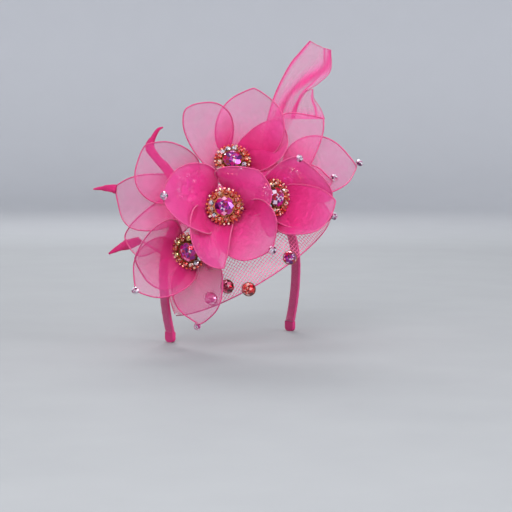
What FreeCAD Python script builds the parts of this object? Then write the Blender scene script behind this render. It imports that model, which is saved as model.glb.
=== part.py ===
import FreeCAD, Part
import math
import os

import Sketcher
from FreeCAD import Placement, Rotation, Vector

# Fascinator headpiece: six wired organza blooms on a shaped net base and a slim headband.
# Frame: origin at the centre of the headband's crown arc, +Z to the crown of the head,
# the wearer faces -Y and the wearer's right hand is on -X. Millimetres.

SIZES = {
    # headband
    "band_radius": 74.0,
    "band_thickness": 3.2,
    "band_width": 11.0,
    "band_arm_radius": 180.0,
    "band_arm_drop": 50.0,
    "strip_thickness": 1.2,
    "strip_width": 8.0,
    "strip_inset": 1.0,
    "tip_cap_depth": 9.0,
    "tip_cap_foot_radius": 3.85,
    # shaped net base: an ellipsoid shell cut by the rim plane and by the band's front edge
    "head_half_width": 78.0,
    "head_half_depth": 95.0,
    "head_half_height": 78.0,
    "head_forward": 30.0,
    "net_thickness": 0.8,
    "rim_heading": 158.0,
    "rim_rise": 56.0,
    "rim_offset": 5.1,
    "net_left_edge": 28.0,
    "rim_wire_radius": 0.8,
    # blooms
    "petal_thickness": 0.6,
    "petal_root_reach": 10.0,
    "petal_root_half_width": 8.0,
    "petal_edge_margin": 0.3,
    "petal_longest_nib": 3.0,
    "petal_wire_radius": 0.5,
    "petal_wire_gap": 0.4,
    "disc_radius": 12.0,
    "disc_thickness": 2.0,
    "stem_radius": 0.9,
    # brooches
    "brooch_lift": 9.0,
    "brooch_post_radius": 2.0,
    "plate_radius": 13.4,
    "plate_thickness": 1.2,
    "centre_stone_radius": 8.0,
    "centre_stone_height": 5.0,
    "stone_table_share": 0.55,
    "bezel_wall": 0.6,
    "bezel_height": 2.4,
    "ring_stone_radius": 2.2,
    "ring_stone_height": 2.4,
    "ring_stone_circle": 11.2,
    "ring_cup_wall": 0.3,
    "ring_cup_height": 1.0,
    "seed_bead_radius": 1.1,
    "seed_bead_circle": 14.5,
    # loose crystals
    "net_crystal_radius": 5.6,
    "net_crystal_height": 5.0,
    "tip_crystal_radius": 3.4,
    "tip_crystal_outward": 2.2,
    "tip_crystal_inward": 3.8,
    # plume and rolled points
    "sheer_thickness": 0.6,
    "plume_wire_radius": 0.7,
    "plume_blade_bow": 3.0,
    "plume_flare_bow": -2.0,
}
RING_STONES = 13
SEED_BEADS = 26
# Longer than the headpiece on every side: the size of the blocks that trim the net.
BLOCK_REACH = 300
# Places around the net's whole trimmed ring, of which the rim wire keeps those in front of the band.
RIM_PLACES = 24
# Share of the shorter run that a wire's bend takes at each corner.
BEND_SHARE = 0.45
# Two heights closer than this are the same one.
SAME_HEIGHT = 0.01

# Where each bloom's disc stands, and the heading and rise of the way it faces, in degrees.
BLOOMS = {
    "front": (Vector(-68, -75, 60), -133, 7),
    "crown": (Vector(-38, -48, 93), -130, 34),
    "brow": (Vector(-35, -90, 67), -88, 6),
    "temple": (Vector(-81, -50, 25), -155, -11),
    "rear": (Vector(-59, -25, 72), -155, 18),
    "left": (Vector(-6, -77, 76), -107, 42),
}

# Each petal: turn about the bloom's axis, lift at the root, curl lost by the tip, rib length,
# half-widths to its left and right, point (1 round, 1.6 pointed), cup, twist and lean.
PETALS = {
    "front": [
        (174, 56, 17, 52, 28, 32, 0.8, 48, 18, 2),
        (39, 38, 15, 34, 27, 23, 1.4, 31, 14, 19),
        (-46, 30, 27, 41, 26, 26, 0.9, 32, 2, 8),
        (-115, 56, 39, 53, 11, 27, 1.1, 48, -25, 55),
    ],
    "crown": [
        (154, 56, 3, 58, 14, 29, 0.8, 11, -3, -17),
        (74, 40, 19, 57, 21, 39, 1.1, 20, -18, -2),
        (36, 36, 16, 46, 10, 26, 1.3, 22, 10, 5),
        (-30, 24, 10, 36, 16, 16, 1.2, 20, 0, 0),
    ],
    "brow": [
        (71, 56, 2, 38, 9, 46, 1.4, 13, -25, 14),
        (-14, 56, 2, 47, 12, 40, 1.0, 41, -13, 10),
        (-30, 54, 11, 46, 13, 19, 1.2, 28, -3, 6),
        (-112, 24, -8, 25, 12, 10, 1.1, 30, 0, 0),
    ],
    "temple": [
        (183, 56, 4, 42, 28, 32, 1.1, 33, -11, -7),
        (-142, 56, 13, 50, 23, 27, 1.1, 41, 9, -4),
        (-79, 33, 20, 51, 29, 21, 1.1, 25, 6, -4),
        (8, 43, 2, 30, 15, 15, 1.1, 30, 0, 0),
    ],
    "rear": [
        (144, 55, 16, 48, 31, 23, 1.0, 35, -12, -6),
        (186, 32, 23, 58, 40, 11, 1.1, 25, -8, -6),
        (-133, 22, 31, 62, 35, 10, 0.8, 31, -3, -21),
    ],
    "left": [
        (20, 27, 22, 56, 32, 27, 1.1, 20, -4, -28),
        (53, 39, 19, 60, 34, 9, 1.1, 28, -8, -6),
        (-8, 29, 9, 29, 16, 17, 1.1, 30, 0, 0),
    ],
}
ROWS = 15
COLUMNS = 7
# Rows close up towards the tip, where the outline turns fastest.
ROW_CLOSENESS = 1.6
# Share of the rib's length at which a petal is widest.
WIDEST_AT = 0.55
# A round petal is pinched out into a small nib at its tip; pointed ones have none.
POINTED = 1.5
NIB_PER_POINT = 8.0
NIB_CLOSENESS = 40

# Petals that carry a crystal at the tip, as (bloom, petal number).
TIP_CRYSTALS = [
    ("front", 1), ("front", 3), ("brow", 1), ("brow", 3),
    ("temple", 2), ("temple", 3), ("left", 1), ("left", 3),
]
# Large crystals on the net, as heading and rise on the head's ellipsoid, in degrees.
NET_CRYSTALS = [(-114.5, 13.6), (-138, -5.3), (-150, -4), (-160, -12)]

# The plume's two sheer leaves: rungs from root to tip, each from its left end to its right end.
PLUME_BLADE = [
    (Vector(9, -39, 134), Vector(21, -60, 134)),
    (Vector(16, -41, 156), Vector(27, -63, 153)),
    (Vector(27, -46, 179), Vector(41, -69, 164)),
    (Vector(36, -50, 191), Vector(52, -72, 175)),
    (Vector(45, -53, 201), Vector(56, -68, 193)),
]
PLUME_FLARE = [
    (Vector(20, -56, 133), Vector(49, -68, 133)),
    (Vector(22, -57, 143), Vector(46, -66, 142)),
    (Vector(26, -60, 151), Vector(39, -65, 151)),
    (Vector(31, -63, 158), Vector(37, -66, 159)),
]
# Rolled points: places along each roll's centre line, and the roll's radius there.
ROLLED_POINTS = {
    "upper": [
        (Vector(-66, -4, 76), 3.5), (Vector(-68, 3, 88), 4.0), (Vector(-74, 11, 100), 3.5),
        (Vector(-77, 16, 109), 4.0), (Vector(-75, 15, 117), 2.4), (Vector(-72, 12, 124), 1.5),
        (Vector(-68, 10, 126), 0.6),
    ],
    "rear": [
        (Vector(-107, 25, 73), 4.0), (Vector(-112, 30, 74), 3.0), (Vector(-116, 34, 74), 1.8),
        (Vector(-121, 39, 73), 0.6),
    ],
    "lower": [
        (Vector(-85, 21, 29), 3.0), (Vector(-91, 26, 26), 4.5), (Vector(-95, 30, 24), 4.0),
        (Vector(-100, 34, 21), 2.4), (Vector(-106, 38, 17), 0.8),
    ],
}
# The plume wire's lowest bend, from the foot of the plume's left edge.
PLUME_WIRE_LOW = Vector(-4, 4, -30)
# Places on the net below the rolled points that stand on stems of their own.
ROLL_FEET = {
    "upper": Vector(-54, -12, 56),
    "lower": Vector(-76, -10, 14),
}


def add_sizes(doc):
    """The sheet of driving dimensions."""
    sheet = doc.addObject("Spreadsheet::Sheet", "sizes")
    for row, (alias, value) in enumerate(SIZES.items(), start=1):
        sheet.set(f"A{row}", alias)
        sheet.set(f"B{row}", str(value))
        sheet.setAlias(f"B{row}", alias)
    doc.recompute()
    return sheet


def bind(item, **formulas):
    """Bind properties of one object to formulas on the sheet's aliases."""
    for name, formula in formulas.items():
        item.setExpression(name, formula)


def make(doc, kind, label, **formulas):
    item = doc.addObject(kind, label)
    item.Label = label
    bind(item, **formulas)
    return item


def coded(doc, label, shape, placement=None):
    """A piece whose shape is worked out by this file."""
    item = doc.addObject("Part::Feature", label)
    item.Label = label
    item.Shape = shape
    item.Placement = placement or Placement()
    return item


def origin_plane(body, role):
    return next(feature for feature in body.Origin.OriginFeatures if feature.Role == role)


def new_sketch(body, name, role):
    sketch = body.newObject("Sketcher::SketchObject", name)
    sketch.AttachmentSupport = [(origin_plane(body, role), "")]
    sketch.MapMode = "FlatFace"
    return sketch


# ---------------------------------------------------------------- headband

def band_outline(sketch, inner, outer):
    """Crown arc, two arms and two level ends; inner and outer are the crown arc's radii."""
    inner_radius = sketch.evalExpression(inner)
    outer_radius = sketch.evalExpression(outer)
    arm_centre = sketch.evalExpression("sizes.band_arm_radius - sizes.band_radius")
    drop = sketch.evalExpression("sizes.band_arm_drop")

    def arc(centre_x, radius, start, end):
        circle = Part.Circle(Vector(centre_x, 0, 0), Vector(0, 0, 1), radius)
        return Part.ArcOfCircle(circle, start, end)

    def arm_angle(crown_radius):
        return math.asin(drop / (arm_centre + crown_radius))

    def end_x(crown_radius):
        return (arm_centre + crown_radius) * math.cos(arm_angle(crown_radius)) - arm_centre

    def level(side):
        return Part.LineSegment(Vector(side * end_x(outer_radius), -drop, 0),
                                Vector(side * end_x(inner_radius), -drop, 0))

    outer_arm = arm_centre + outer_radius
    inner_arm = arm_centre + inner_radius
    crown_out = sketch.addGeometry(arc(0, outer_radius, 0, math.pi))
    left_out = sketch.addGeometry(arc(arm_centre, outer_arm, math.pi, math.pi + arm_angle(outer_radius)))
    left_end = sketch.addGeometry(level(-1))
    left_in = sketch.addGeometry(arc(arm_centre, inner_arm, math.pi, math.pi + arm_angle(inner_radius)))
    crown_in = sketch.addGeometry(arc(0, inner_radius, 0, math.pi))
    right_in = sketch.addGeometry(arc(-arm_centre, inner_arm, -arm_angle(inner_radius), 0))
    right_end = sketch.addGeometry(level(1))
    right_out = sketch.addGeometry(arc(-arm_centre, outer_arm, -arm_angle(outer_radius), 0))

    start, end, centre = 1, 2, 3
    axis, origin = -1, (-1, 1)
    joined = [
        (crown_out, end, left_out, start), (left_out, end, left_end, start),
        (left_end, end, left_in, end), (left_in, start, crown_in, end),
        (crown_in, start, right_in, end), (right_in, start, right_end, end),
        (right_end, start, right_out, start), (right_out, end, crown_out, start),
        (left_out, centre, left_in, centre), (right_out, centre, right_in, centre),
        (crown_out, centre, *origin), (crown_in, centre, *origin),
    ]
    for pair in joined:
        sketch.addConstraint(Sketcher.Constraint("Coincident", *pair))
    for curve, point in [(left_in, centre), (right_in, centre), (crown_out, start), (crown_out, end),
                         (crown_in, start), (crown_in, end)]:
        sketch.addConstraint(Sketcher.Constraint("PointOnObject", curve, point, axis))
    for line in (left_end, right_end):
        sketch.addConstraint(Sketcher.Constraint("Horizontal", line))
    arm_formula = f"sizes.band_arm_radius - sizes.band_radius + {inner}"
    named = [
        ("crown_outer", Sketcher.Constraint("Radius", crown_out, outer_radius), outer),
        ("crown_inner", Sketcher.Constraint("Radius", crown_in, inner_radius), inner),
        ("left_arm", Sketcher.Constraint("Radius", left_in, inner_arm), arm_formula),
        ("right_arm", Sketcher.Constraint("Radius", right_in, inner_arm), arm_formula),
        ("left_drop", Sketcher.Constraint("DistanceY", left_end, start, *origin, drop),
         "sizes.band_arm_drop"),
        ("right_drop", Sketcher.Constraint("DistanceY", right_end, start, *origin, drop),
         "sizes.band_arm_drop"),
    ]
    for name, constraint, formula in named:
        sketch.renameConstraint(sketch.addConstraint(constraint), name)
        sketch.setExpression(f"Constraints.{name}", formula)


def symmetric(feature, formula):
    feature.SideType = "Symmetric"
    bind(feature, Length=formula)


def add_headband(doc):
    """Satin sleeve with a spring strip inside it, and a moulded tip on each end."""
    strip_inner = "sizes.band_radius + sizes.strip_inset"
    strip_outer = f"{strip_inner} + sizes.strip_thickness"

    strip = doc.addObject("PartDesign::Body", "headband_strip")
    outline = new_sketch(strip, "strip_outline", "XZ_Plane")
    band_outline(outline, strip_inner, strip_outer)
    doc.recompute()
    pad = strip.newObject("PartDesign::Pad", "strip_pad")
    pad.Profile = outline
    symmetric(pad, "sizes.strip_width")

    cover = doc.addObject("PartDesign::Body", "headband_cover")
    outline = new_sketch(cover, "cover_outline", "XZ_Plane")
    band_outline(outline, "sizes.band_radius", "sizes.band_radius + sizes.band_thickness")
    doc.recompute()
    pad = cover.newObject("PartDesign::Pad", "cover_pad")
    pad.Profile = outline
    symmetric(pad, "sizes.band_width")
    doc.recompute()
    channel_outline = new_sketch(cover, "channel_outline", "XZ_Plane")
    band_outline(channel_outline, strip_inner, strip_outer)
    doc.recompute()
    channel = cover.newObject("PartDesign::Pocket", "strip_channel")
    channel.Profile = channel_outline
    symmetric(channel, "sizes.strip_width")
    doc.recompute()
    return [strip, cover, add_band_tips(doc)]


def add_band_tips(doc):
    """Two moulded tips that close the sleeve's ends: a short box with a rounded foot each."""
    tips = []
    for side, name in ((-1, "right"), (1, "left")):
        box = make(doc, "Part::Box", f"tip_block_{name}",
                   Length="sizes.band_thickness", Width="sizes.band_width", Height="sizes.tip_cap_depth")
        arm = "(sizes.band_arm_radius - sizes.band_radius)"
        reach = f"sqrt(pow(sizes.band_arm_radius; 2) - pow(sizes.band_arm_drop; 2)) - {arm}"
        start = reach if side > 0 else f"-({reach}) - sizes.band_thickness"
        box.setExpression("Placement.Base.x", start)
        box.setExpression("Placement.Base.y", "-sizes.band_width / 2")
        box.setExpression("Placement.Base.z", "-sizes.band_arm_drop - sizes.tip_cap_depth")
        doc.recompute()
        rounded = doc.addObject("Part::Fillet", f"tip_{name}")
        rounded.Base = box
        foot_edges = [number for number, edge in enumerate(box.Shape.Edges, start=1)
                      if is_foot_corner(edge, box.Shape.BoundBox.ZMin)]
        radius = doc.sizes.tip_cap_foot_radius
        rounded.Edges = [(number, radius, radius) for number in foot_edges]
        tips.append(rounded)
    pair = doc.addObject("Part::Compound", "headband_end_tips")
    pair.Label = "headband_end_tips"
    pair.Links = tips
    return pair


def is_foot_corner(edge, foot_height):
    """True for the two short edges across the band's thickness at the tip's foot."""
    box = edge.BoundBox
    across = box.XLength > box.YLength and box.XLength > box.ZLength
    return across and abs(box.ZMin - foot_height) < SAME_HEIGHT


# ---------------------------------------------------------------- net base

def unit_from_angles(heading, rise):
    across, up = math.radians(heading), math.radians(rise)
    return Vector(math.cos(up) * math.cos(across), math.cos(up) * math.sin(across), math.sin(up))


def times(first, second):
    return Vector(first.x * second.x, first.y * second.y, first.z * second.z)


def over(first, second):
    return Vector(first.x / second.x, first.y / second.y, first.z / second.z)


def head_centre(sizes):
    return Vector(0, -sizes.head_forward, 0)


def head_axes(sizes, grown):
    """The half-axes of the head's ellipsoid, grown by some millimetres."""
    half = Vector(sizes.head_half_width, sizes.head_half_depth, sizes.head_half_height)
    return half + Vector(grown, grown, grown)


def head_point(sizes, heading, rise, grown):
    """A point of the grown ellipsoid, and the outward normal there."""
    direction = unit_from_angles(heading, rise)
    axes = head_axes(sizes, grown)
    return head_centre(sizes) + times(direction, axes), over(direction, axes).normalize()


def head_foot(sizes, place, grown):
    """Where the line from a place to the head's centre meets the grown ellipsoid."""
    arm = place - head_centre(sizes)
    return head_centre(sizes) + arm * (1 / over(arm, head_axes(sizes, grown)).Length)


def add_net_base(doc):
    """The shaped net: an ellipsoid shell above the rim plane, in front of the headband."""
    outer = make(doc, "Part::Ellipsoid", "net_outside",
                 Radius1="sizes.head_half_height + sizes.net_thickness",
                 Radius2="sizes.head_half_width + sizes.net_thickness",
                 Radius3="sizes.head_half_depth + sizes.net_thickness")
    inner = make(doc, "Part::Ellipsoid", "net_inside",
                 Radius1="sizes.head_half_height", Radius2="sizes.head_half_width",
                 Radius3="sizes.head_half_depth")
    for ellipsoid in (outer, inner):
        ellipsoid.setExpression("Placement.Base.y", "-sizes.head_forward")
    shell = doc.addObject("Part::Cut", "net_shell")
    shell.Base = outer
    shell.Tool = inner

    above_rim = doc.addObject("Part::Box", "above_rim")
    above_rim.Length = above_rim.Width = above_rim.Height = 2 * BLOCK_REACH
    up_from_rim = unit_from_angles(doc.sizes.rim_heading, doc.sizes.rim_rise)
    turn = Rotation(Vector(0, 0, 1), up_from_rim)
    corner = up_from_rim * doc.sizes.rim_offset + turn.multVec(Vector(-BLOCK_REACH, -BLOCK_REACH, 0))
    above_rim.Placement = Placement(corner, turn)

    front_block = make(doc, "Part::Box", "front_block", Length=f"{BLOCK_REACH} + sizes.net_left_edge")
    front_block.Width = front_block.Height = BLOCK_REACH
    front_block.Placement = Placement(Vector(-BLOCK_REACH, -BLOCK_REACH, -BLOCK_REACH / 2), Rotation())
    front_block.setExpression("Placement.Base.y", f"-{BLOCK_REACH} - sizes.band_width / 2")

    net = doc.addObject("Part::MultiCommon", "base_net_cap")
    net.Label = "base_net_cap"
    net.Shapes = [shell, above_rim, front_block]
    doc.recompute()
    return net


def rim_points(sizes, below, count):
    """Points along the net's rim, `below` millimetres under the rim plane, from a closed ring of
    `count` points of which those off the net's two other edges are left out."""
    up_from_rim = unit_from_angles(sizes.rim_heading, sizes.rim_rise)
    axes = head_axes(sizes, sizes.net_thickness / 2)
    scaled = times(up_from_rim, axes)
    height = (sizes.rim_offset - below - up_from_rim.dot(head_centre(sizes))) / scaled.Length
    pole = Vector(scaled).normalize()
    side = pole.cross(Vector(0, 0, 1)).normalize()
    other = pole.cross(side)
    circle = math.sqrt(1 - height * height)
    points = []
    for step in range(count):
        angle = 2 * math.pi * step / count
        unit = pole * height + (side * math.cos(angle) + other * math.sin(angle)) * circle
        points.append(head_centre(sizes) + times(unit, axes))
    band_front = -sizes.band_width / 2 - sizes.rim_wire_radius
    inside = [point.x < sizes.net_left_edge and point.y < band_front for point in points]
    first = next(step for step in range(count) if inside[step] and not inside[step - 1])
    return [points[(first + step) % count] for step in range(count) if inside[(first + step) % count]]


def bent_wire(points, radius):
    """A round wire of straight runs joined by tangent arcs, as large as the runs allow."""
    edges = []
    start = points[0]
    for before, corner, after in zip(points, points[1:], points[2:]):
        back = (before - corner).normalize()
        ahead = (after - corner).normalize()
        reach = BEND_SHARE * min((before - corner).Length, (after - corner).Length)
        half_turn = (math.pi - back.getAngle(ahead)) / 2
        bend = reach / math.tan(half_turn)
        to_middle = (back + ahead).normalize() * (bend / math.cos(half_turn) - bend)
        arc = Part.Arc(corner + back * reach, corner + to_middle, corner + ahead * reach)
        edges.append(Part.LineSegment(start, corner + back * reach).toShape())
        edges.append(arc.toShape())
        start = corner + ahead * reach
    edges.append(Part.LineSegment(start, points[-1]).toShape())
    ring = Part.Wire(Part.makeCircle(radius, points[0], points[1] - points[0]))
    return Part.Wire(edges).makePipeShell([ring], True, False)


def add_rim_wire(doc):
    radius = doc.sizes.rim_wire_radius
    return coded(doc, "base_rim_wire", bent_wire(rim_points(doc.sizes, radius, RIM_PLACES), radius))


# ---------------------------------------------------------------- petals

def bloom_axes(bloom):
    """Centre, sideways, upward and facing directions of a bloom."""
    centre, heading, rise = BLOOMS[bloom]
    facing = unit_from_angles(heading, rise)
    sideways = Vector(0, 0, 1).cross(facing).normalize()
    return centre, sideways, facing.cross(sideways), facing


def bloom_placement(bloom, forward):
    """Placement whose Z is the way the bloom faces, moved forward from its centre."""
    centre, sideways, upward, facing = bloom_axes(bloom)
    turn = Rotation(sideways, upward, facing, "ZXY")
    return Placement(centre + facing * forward, turn)


def half_width_share(share, point):
    """Share of the full half-width at a share of the rib's length."""
    stretched = share ** (math.log(0.5) / math.log(WIDEST_AT))
    height = math.sin(math.acos(max(-1.0, min(1.0, 1 - 2 * stretched))))
    return height ** (point if stretched > 0.5 else 1.0)


def petal_rows(sizes, bloom, petal):
    """Grid of points on a petal, root to tip, each row from its right edge to its left edge."""
    turn, lift, curl, length, left, right, point, cup, twist, lean = petal
    centre, sideways, upward, facing = bloom_axes(bloom)
    radius = (left + right) / 2 / math.radians(cup)
    shares = [1 - (1 - row / (ROWS - 1)) ** ROW_CLOSENESS for row in range(ROWS)]
    nib = max(0.0, min(sizes.petal_longest_nib, NIB_PER_POINT * (POINTED - point)))

    def directions(share):
        about = math.radians(turn + lean * share)
        climb = math.radians(lift - curl * share)
        outward = sideways * math.cos(about) + upward * math.sin(about)
        along = outward * math.cos(climb) + facing * math.sin(climb)
        inner = facing * math.cos(climb) - outward * math.sin(climb)
        across = facing.cross(outward)
        roll = math.radians(twist) * share
        return (outward, along, across * math.cos(roll) + inner * math.sin(roll),
                inner * math.cos(roll) - across * math.sin(roll))

    place = centre + directions(0)[0] * sizes.petal_root_reach
    rows = []
    for number, share in enumerate(shares):
        if number:
            before = shares[number - 1]
            place = place + directions((share + before) / 2)[1] * (length * (share - before))
        outward, along, across, inner = directions(share)
        root = sizes.petal_root_half_width * (1 - share) ** 2
        widths = [root + width * half_width_share(share, point) + sizes.petal_edge_margin
                  for width in (right, left)]
        pinched = place + along * (nib * share ** NIB_CLOSENESS)
        row = []
        for column in range(COLUMNS):
            offset = 2 * column / (COLUMNS - 1) - 1
            arc = offset * widths[1 if offset > 0 else 0]
            row.append(pinched + across * (radius * math.sin(arc / radius))
                       + inner * (radius * (1 - math.cos(arc / radius))))
        rows.append(row)
    return rows


def sheet_solid(rows, thickness):
    """A thin solid on a smooth surface through rows of points."""
    surface = Part.BSplineSurface()
    surface.interpolate(rows)
    face = surface.toShape()
    middle_row = rows[len(rows) // 2]
    across = middle_row[-1] - middle_row[0]
    along = rows[-1][len(middle_row) // 2] - rows[0][len(middle_row) // 2]
    normal = across.cross(along).normalize()
    face.translate(normal * (-thickness / 2))
    return face.extrude(normal * thickness)


def edge_points(rows, clear):
    """Points just outside a petal's outline, from its right root round the tip to its left root."""
    def outside(row, edge, inner):
        return row[edge] + (row[edge] - row[inner]).normalize() * clear

    kept = rows[:-2:2] + [rows[-2]]
    right = [outside(row, 0, 1) for row in kept]
    left = [outside(row, -1, -2) for row in kept]
    middle = COLUMNS // 2
    tip = rows[-1][middle] + (rows[-1][middle] - rows[-2][middle]).normalize() * clear
    return right + [tip] + left[::-1]


def petal_tip(sizes, bloom, number):
    """A petal's tip, the direction in which its rib leaves it, and the way its hollow side faces."""
    rows = petal_rows(sizes, bloom, PETALS[bloom][number - 1])
    middle = COLUMNS // 2
    outward = (rows[-1][middle] - rows[-2][middle]).normalize()
    across = rows[-2][-1] - rows[-2][0]
    return rows[-1][middle], outward, outward.cross(across).normalize()


def add_petals(doc):
    sizes = doc.sizes
    clear = sizes.petal_wire_radius + sizes.petal_wire_gap
    pieces = []
    for bloom, petals in PETALS.items():
        wires = []
        for number, petal in enumerate(petals, start=1):
            rows = petal_rows(sizes, bloom, petal)
            solid = sheet_solid(rows, sizes.petal_thickness)
            pieces.append(coded(doc, f"petal_{bloom}_{number}", solid))
            wires.append(bent_wire(edge_points(rows, clear), sizes.petal_wire_radius))
        pieces.append(coded(doc, f"petal_wires_{bloom}", Part.makeCompound(wires)))
    return pieces


# ---------------------------------------------------------------- discs and stems

def disc_back(sizes):
    return -sizes.petal_thickness / 2 - sizes.disc_thickness


def add_petal_discs(doc):
    """One felt disc behind each bloom, to which the petal roots are sewn."""
    discs = []
    for bloom in BLOOMS:
        disc = make(doc, "Part::Cylinder", f"disc_{bloom}", Radius="sizes.disc_radius",
                    Height="sizes.disc_thickness")
        disc.Placement = bloom_placement(bloom, disc_back(doc.sizes))
        discs.append(disc)
    group = doc.addObject("Part::Compound", "petal_discs")
    group.Label = "petal_discs"
    group.Links = discs
    doc.recompute()
    return group


def straight_wire(start, end, radius):
    return Part.makeCylinder(radius, (end - start).Length, start, end - start)


def add_stems(doc):
    """Stiff wires from the net base to each bloom's disc and to the two free rolled points."""
    sizes = doc.sizes
    net = sizes.net_thickness
    stems = []
    for bloom in BLOOMS:
        centre, sideways, upward, facing = bloom_axes(bloom)
        end = centre + facing * disc_back(sizes)
        stems.append(straight_wire(head_foot(sizes, end, net), end, sizes.stem_radius))
    for name, start in ROLL_FEET.items():
        end = ROLLED_POINTS[name][0][0]
        stems.append(straight_wire(head_foot(sizes, start, net), end, sizes.stem_radius))
    return coded(doc, "bloom_stems", Part.makeCompound(stems))


# ---------------------------------------------------------------- brooches

def lathe_outline(sketch, points):
    """A closed outline in the sketch, each corner held by formulas from the two axes."""
    values = [(sketch.evalExpression(across), sketch.evalExpression(up)) for across, up in points]
    corners = [Vector(across, up, 0) for across, up in values]
    count = len(corners)
    for number in range(count):
        sketch.addGeometry(Part.LineSegment(corners[number], corners[(number + 1) % count]))
    for number in range(count):
        sketch.addConstraint(Sketcher.Constraint("Coincident", number, 2, (number + 1) % count, 1))
    for number, formulas in enumerate(points):
        for kind, axis, value, formula in (("DistanceX", -2, values[number][0], formulas[0]),
                                           ("DistanceY", -1, values[number][1], formulas[1])):
            if value == 0:
                sketch.addConstraint(Sketcher.Constraint("PointOnObject", number, 1, axis))
                continue
            name = f"corner_{number}_{kind[-1]}"
            held = sketch.addConstraint(Sketcher.Constraint(kind, -1, 1, number, 1, value))
            sketch.renameConstraint(held, name)
            sketch.setExpression(f"Constraints.{name}", formula)


def add_brooch_setting(doc, bloom):
    """Backing plate with a bezel, a post to the disc, and a ring of small cups."""
    body = doc.addObject("PartDesign::Body", f"brooch_setting_{bloom}")
    outline = new_sketch(body, f"setting_outline_{bloom}", "XZ_Plane")
    bezel_inside = "sizes.centre_stone_radius"
    bezel_outside = "sizes.centre_stone_radius + sizes.bezel_wall"
    bezel_top = "sizes.plate_thickness + sizes.bezel_height"
    post_foot = "-(sizes.brooch_lift + sizes.petal_thickness / 2)"
    lathe_outline(outline, [
        ("0", post_foot), ("sizes.brooch_post_radius", post_foot), ("sizes.brooch_post_radius", "0"),
        ("sizes.plate_radius", "0"), ("sizes.plate_radius", "sizes.plate_thickness"),
        (bezel_outside, "sizes.plate_thickness"), (bezel_outside, bezel_top),
        (bezel_inside, bezel_top), (bezel_inside, "sizes.plate_thickness"),
        ("0", "sizes.plate_thickness"),
    ])
    doc.recompute()
    plate = body.newObject("PartDesign::Revolution", f"plate_{bloom}")
    plate.Profile = outline
    plate.ReferenceAxis = (outline, ["V_Axis"])
    plate.Angle = 360
    doc.recompute()

    cup_outline = new_sketch(body, f"cup_outline_{bloom}", "XY_Plane")
    cup_outline.setExpression("AttachmentOffset.Base.z", "sizes.plate_thickness")
    sizes = doc.sizes
    for name, radius, formula in (
            ("cup_inside", sizes.ring_stone_radius, "sizes.ring_stone_radius"),
            ("cup_outside", sizes.ring_stone_radius + sizes.ring_cup_wall,
             "sizes.ring_stone_radius + sizes.ring_cup_wall")):
        centre = Vector(sizes.ring_stone_circle, 0, 0)
        ring = cup_outline.addGeometry(Part.Circle(centre, Vector(0, 0, 1), radius))
        cup_outline.addConstraint(Sketcher.Constraint("PointOnObject", ring, 3, -1))
        held = cup_outline.addConstraint(Sketcher.Constraint("DistanceX", -1, 1, ring, 3, centre.x))
        cup_outline.renameConstraint(held, f"{name}_place")
        cup_outline.setExpression(f"Constraints.{name}_place", "sizes.ring_stone_circle")
        held = cup_outline.addConstraint(Sketcher.Constraint("Radius", ring, radius))
        cup_outline.renameConstraint(held, name)
        cup_outline.setExpression(f"Constraints.{name}", formula)
    doc.recompute()
    cup = body.newObject("PartDesign::Pad", f"cup_{bloom}")
    cup.Profile = cup_outline
    bind(cup, Length="sizes.ring_cup_height")
    doc.recompute()
    cups = body.newObject("PartDesign::PolarPattern", f"cups_{bloom}")
    cups.Originals = [cup]
    cups.Axis = (cup_outline, ["N_Axis"])
    cups.Angle = 360
    cups.Occurrences = RING_STONES
    body.Tip = cups
    body.Placement = bloom_placement(bloom, sizes.brooch_lift)
    doc.recompute()
    return body


def add_centre_stone(doc, bloom):
    stone = make(doc, "Part::Cone", f"centre_stone_{bloom}", Radius1="sizes.centre_stone_radius",
                 Radius2="sizes.centre_stone_radius * sizes.stone_table_share",
                 Height="sizes.centre_stone_height")
    stone.Placement = bloom_placement(bloom, doc.sizes.brooch_lift + doc.sizes.plate_thickness)
    return stone


def add_ring_stones(doc, bloom):
    """Small stones in the cups, and the seed beads threaded round the plate."""
    sizes = doc.sizes
    stones = []
    for step in range(RING_STONES):
        angle = 2 * math.pi * step / RING_STONES
        foot = Vector(math.cos(angle), math.sin(angle), 0) * sizes.ring_stone_circle
        foot.z = sizes.plate_thickness
        table_radius = sizes.ring_stone_radius * sizes.stone_table_share
        stones.append(Part.makeCone(sizes.ring_stone_radius, table_radius, sizes.ring_stone_height, foot))
    for step in range(SEED_BEADS):
        angle = 2 * math.pi * (step + 0.5) / SEED_BEADS
        centre = Vector(math.cos(angle), math.sin(angle), 0) * sizes.seed_bead_circle
        centre.z = sizes.plate_thickness / 2
        stones.append(Part.makeSphere(sizes.seed_bead_radius, centre))
    placement = bloom_placement(bloom, sizes.brooch_lift)
    return coded(doc, f"ring_stones_{bloom}", Part.makeCompound(stones), placement)


# ---------------------------------------------------------------- loose crystals

def add_net_crystals(doc):
    """Large crystals in shallow cups on the net."""
    sizes = doc.sizes
    radius = sizes.net_crystal_radius
    wall = sizes.ring_cup_wall
    cups = []
    stones = []
    for heading, rise in NET_CRYSTALS:
        place, outward = head_point(sizes, heading, rise, sizes.net_thickness)
        floor = place + outward * wall
        outside = Part.makeCylinder(radius + wall, wall + sizes.ring_cup_height, place, outward)
        cups.append(outside.cut(Part.makeCylinder(radius, sizes.ring_cup_height * 2, floor, outward)))
        stones.append(Part.makeCone(radius, radius * sizes.stone_table_share, sizes.net_crystal_height,
                                    floor, outward))
    return [coded(doc, "net_crystal_cups", Part.makeCompound(cups)),
            coded(doc, "net_crystals", Part.makeCompound(stones))]


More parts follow.
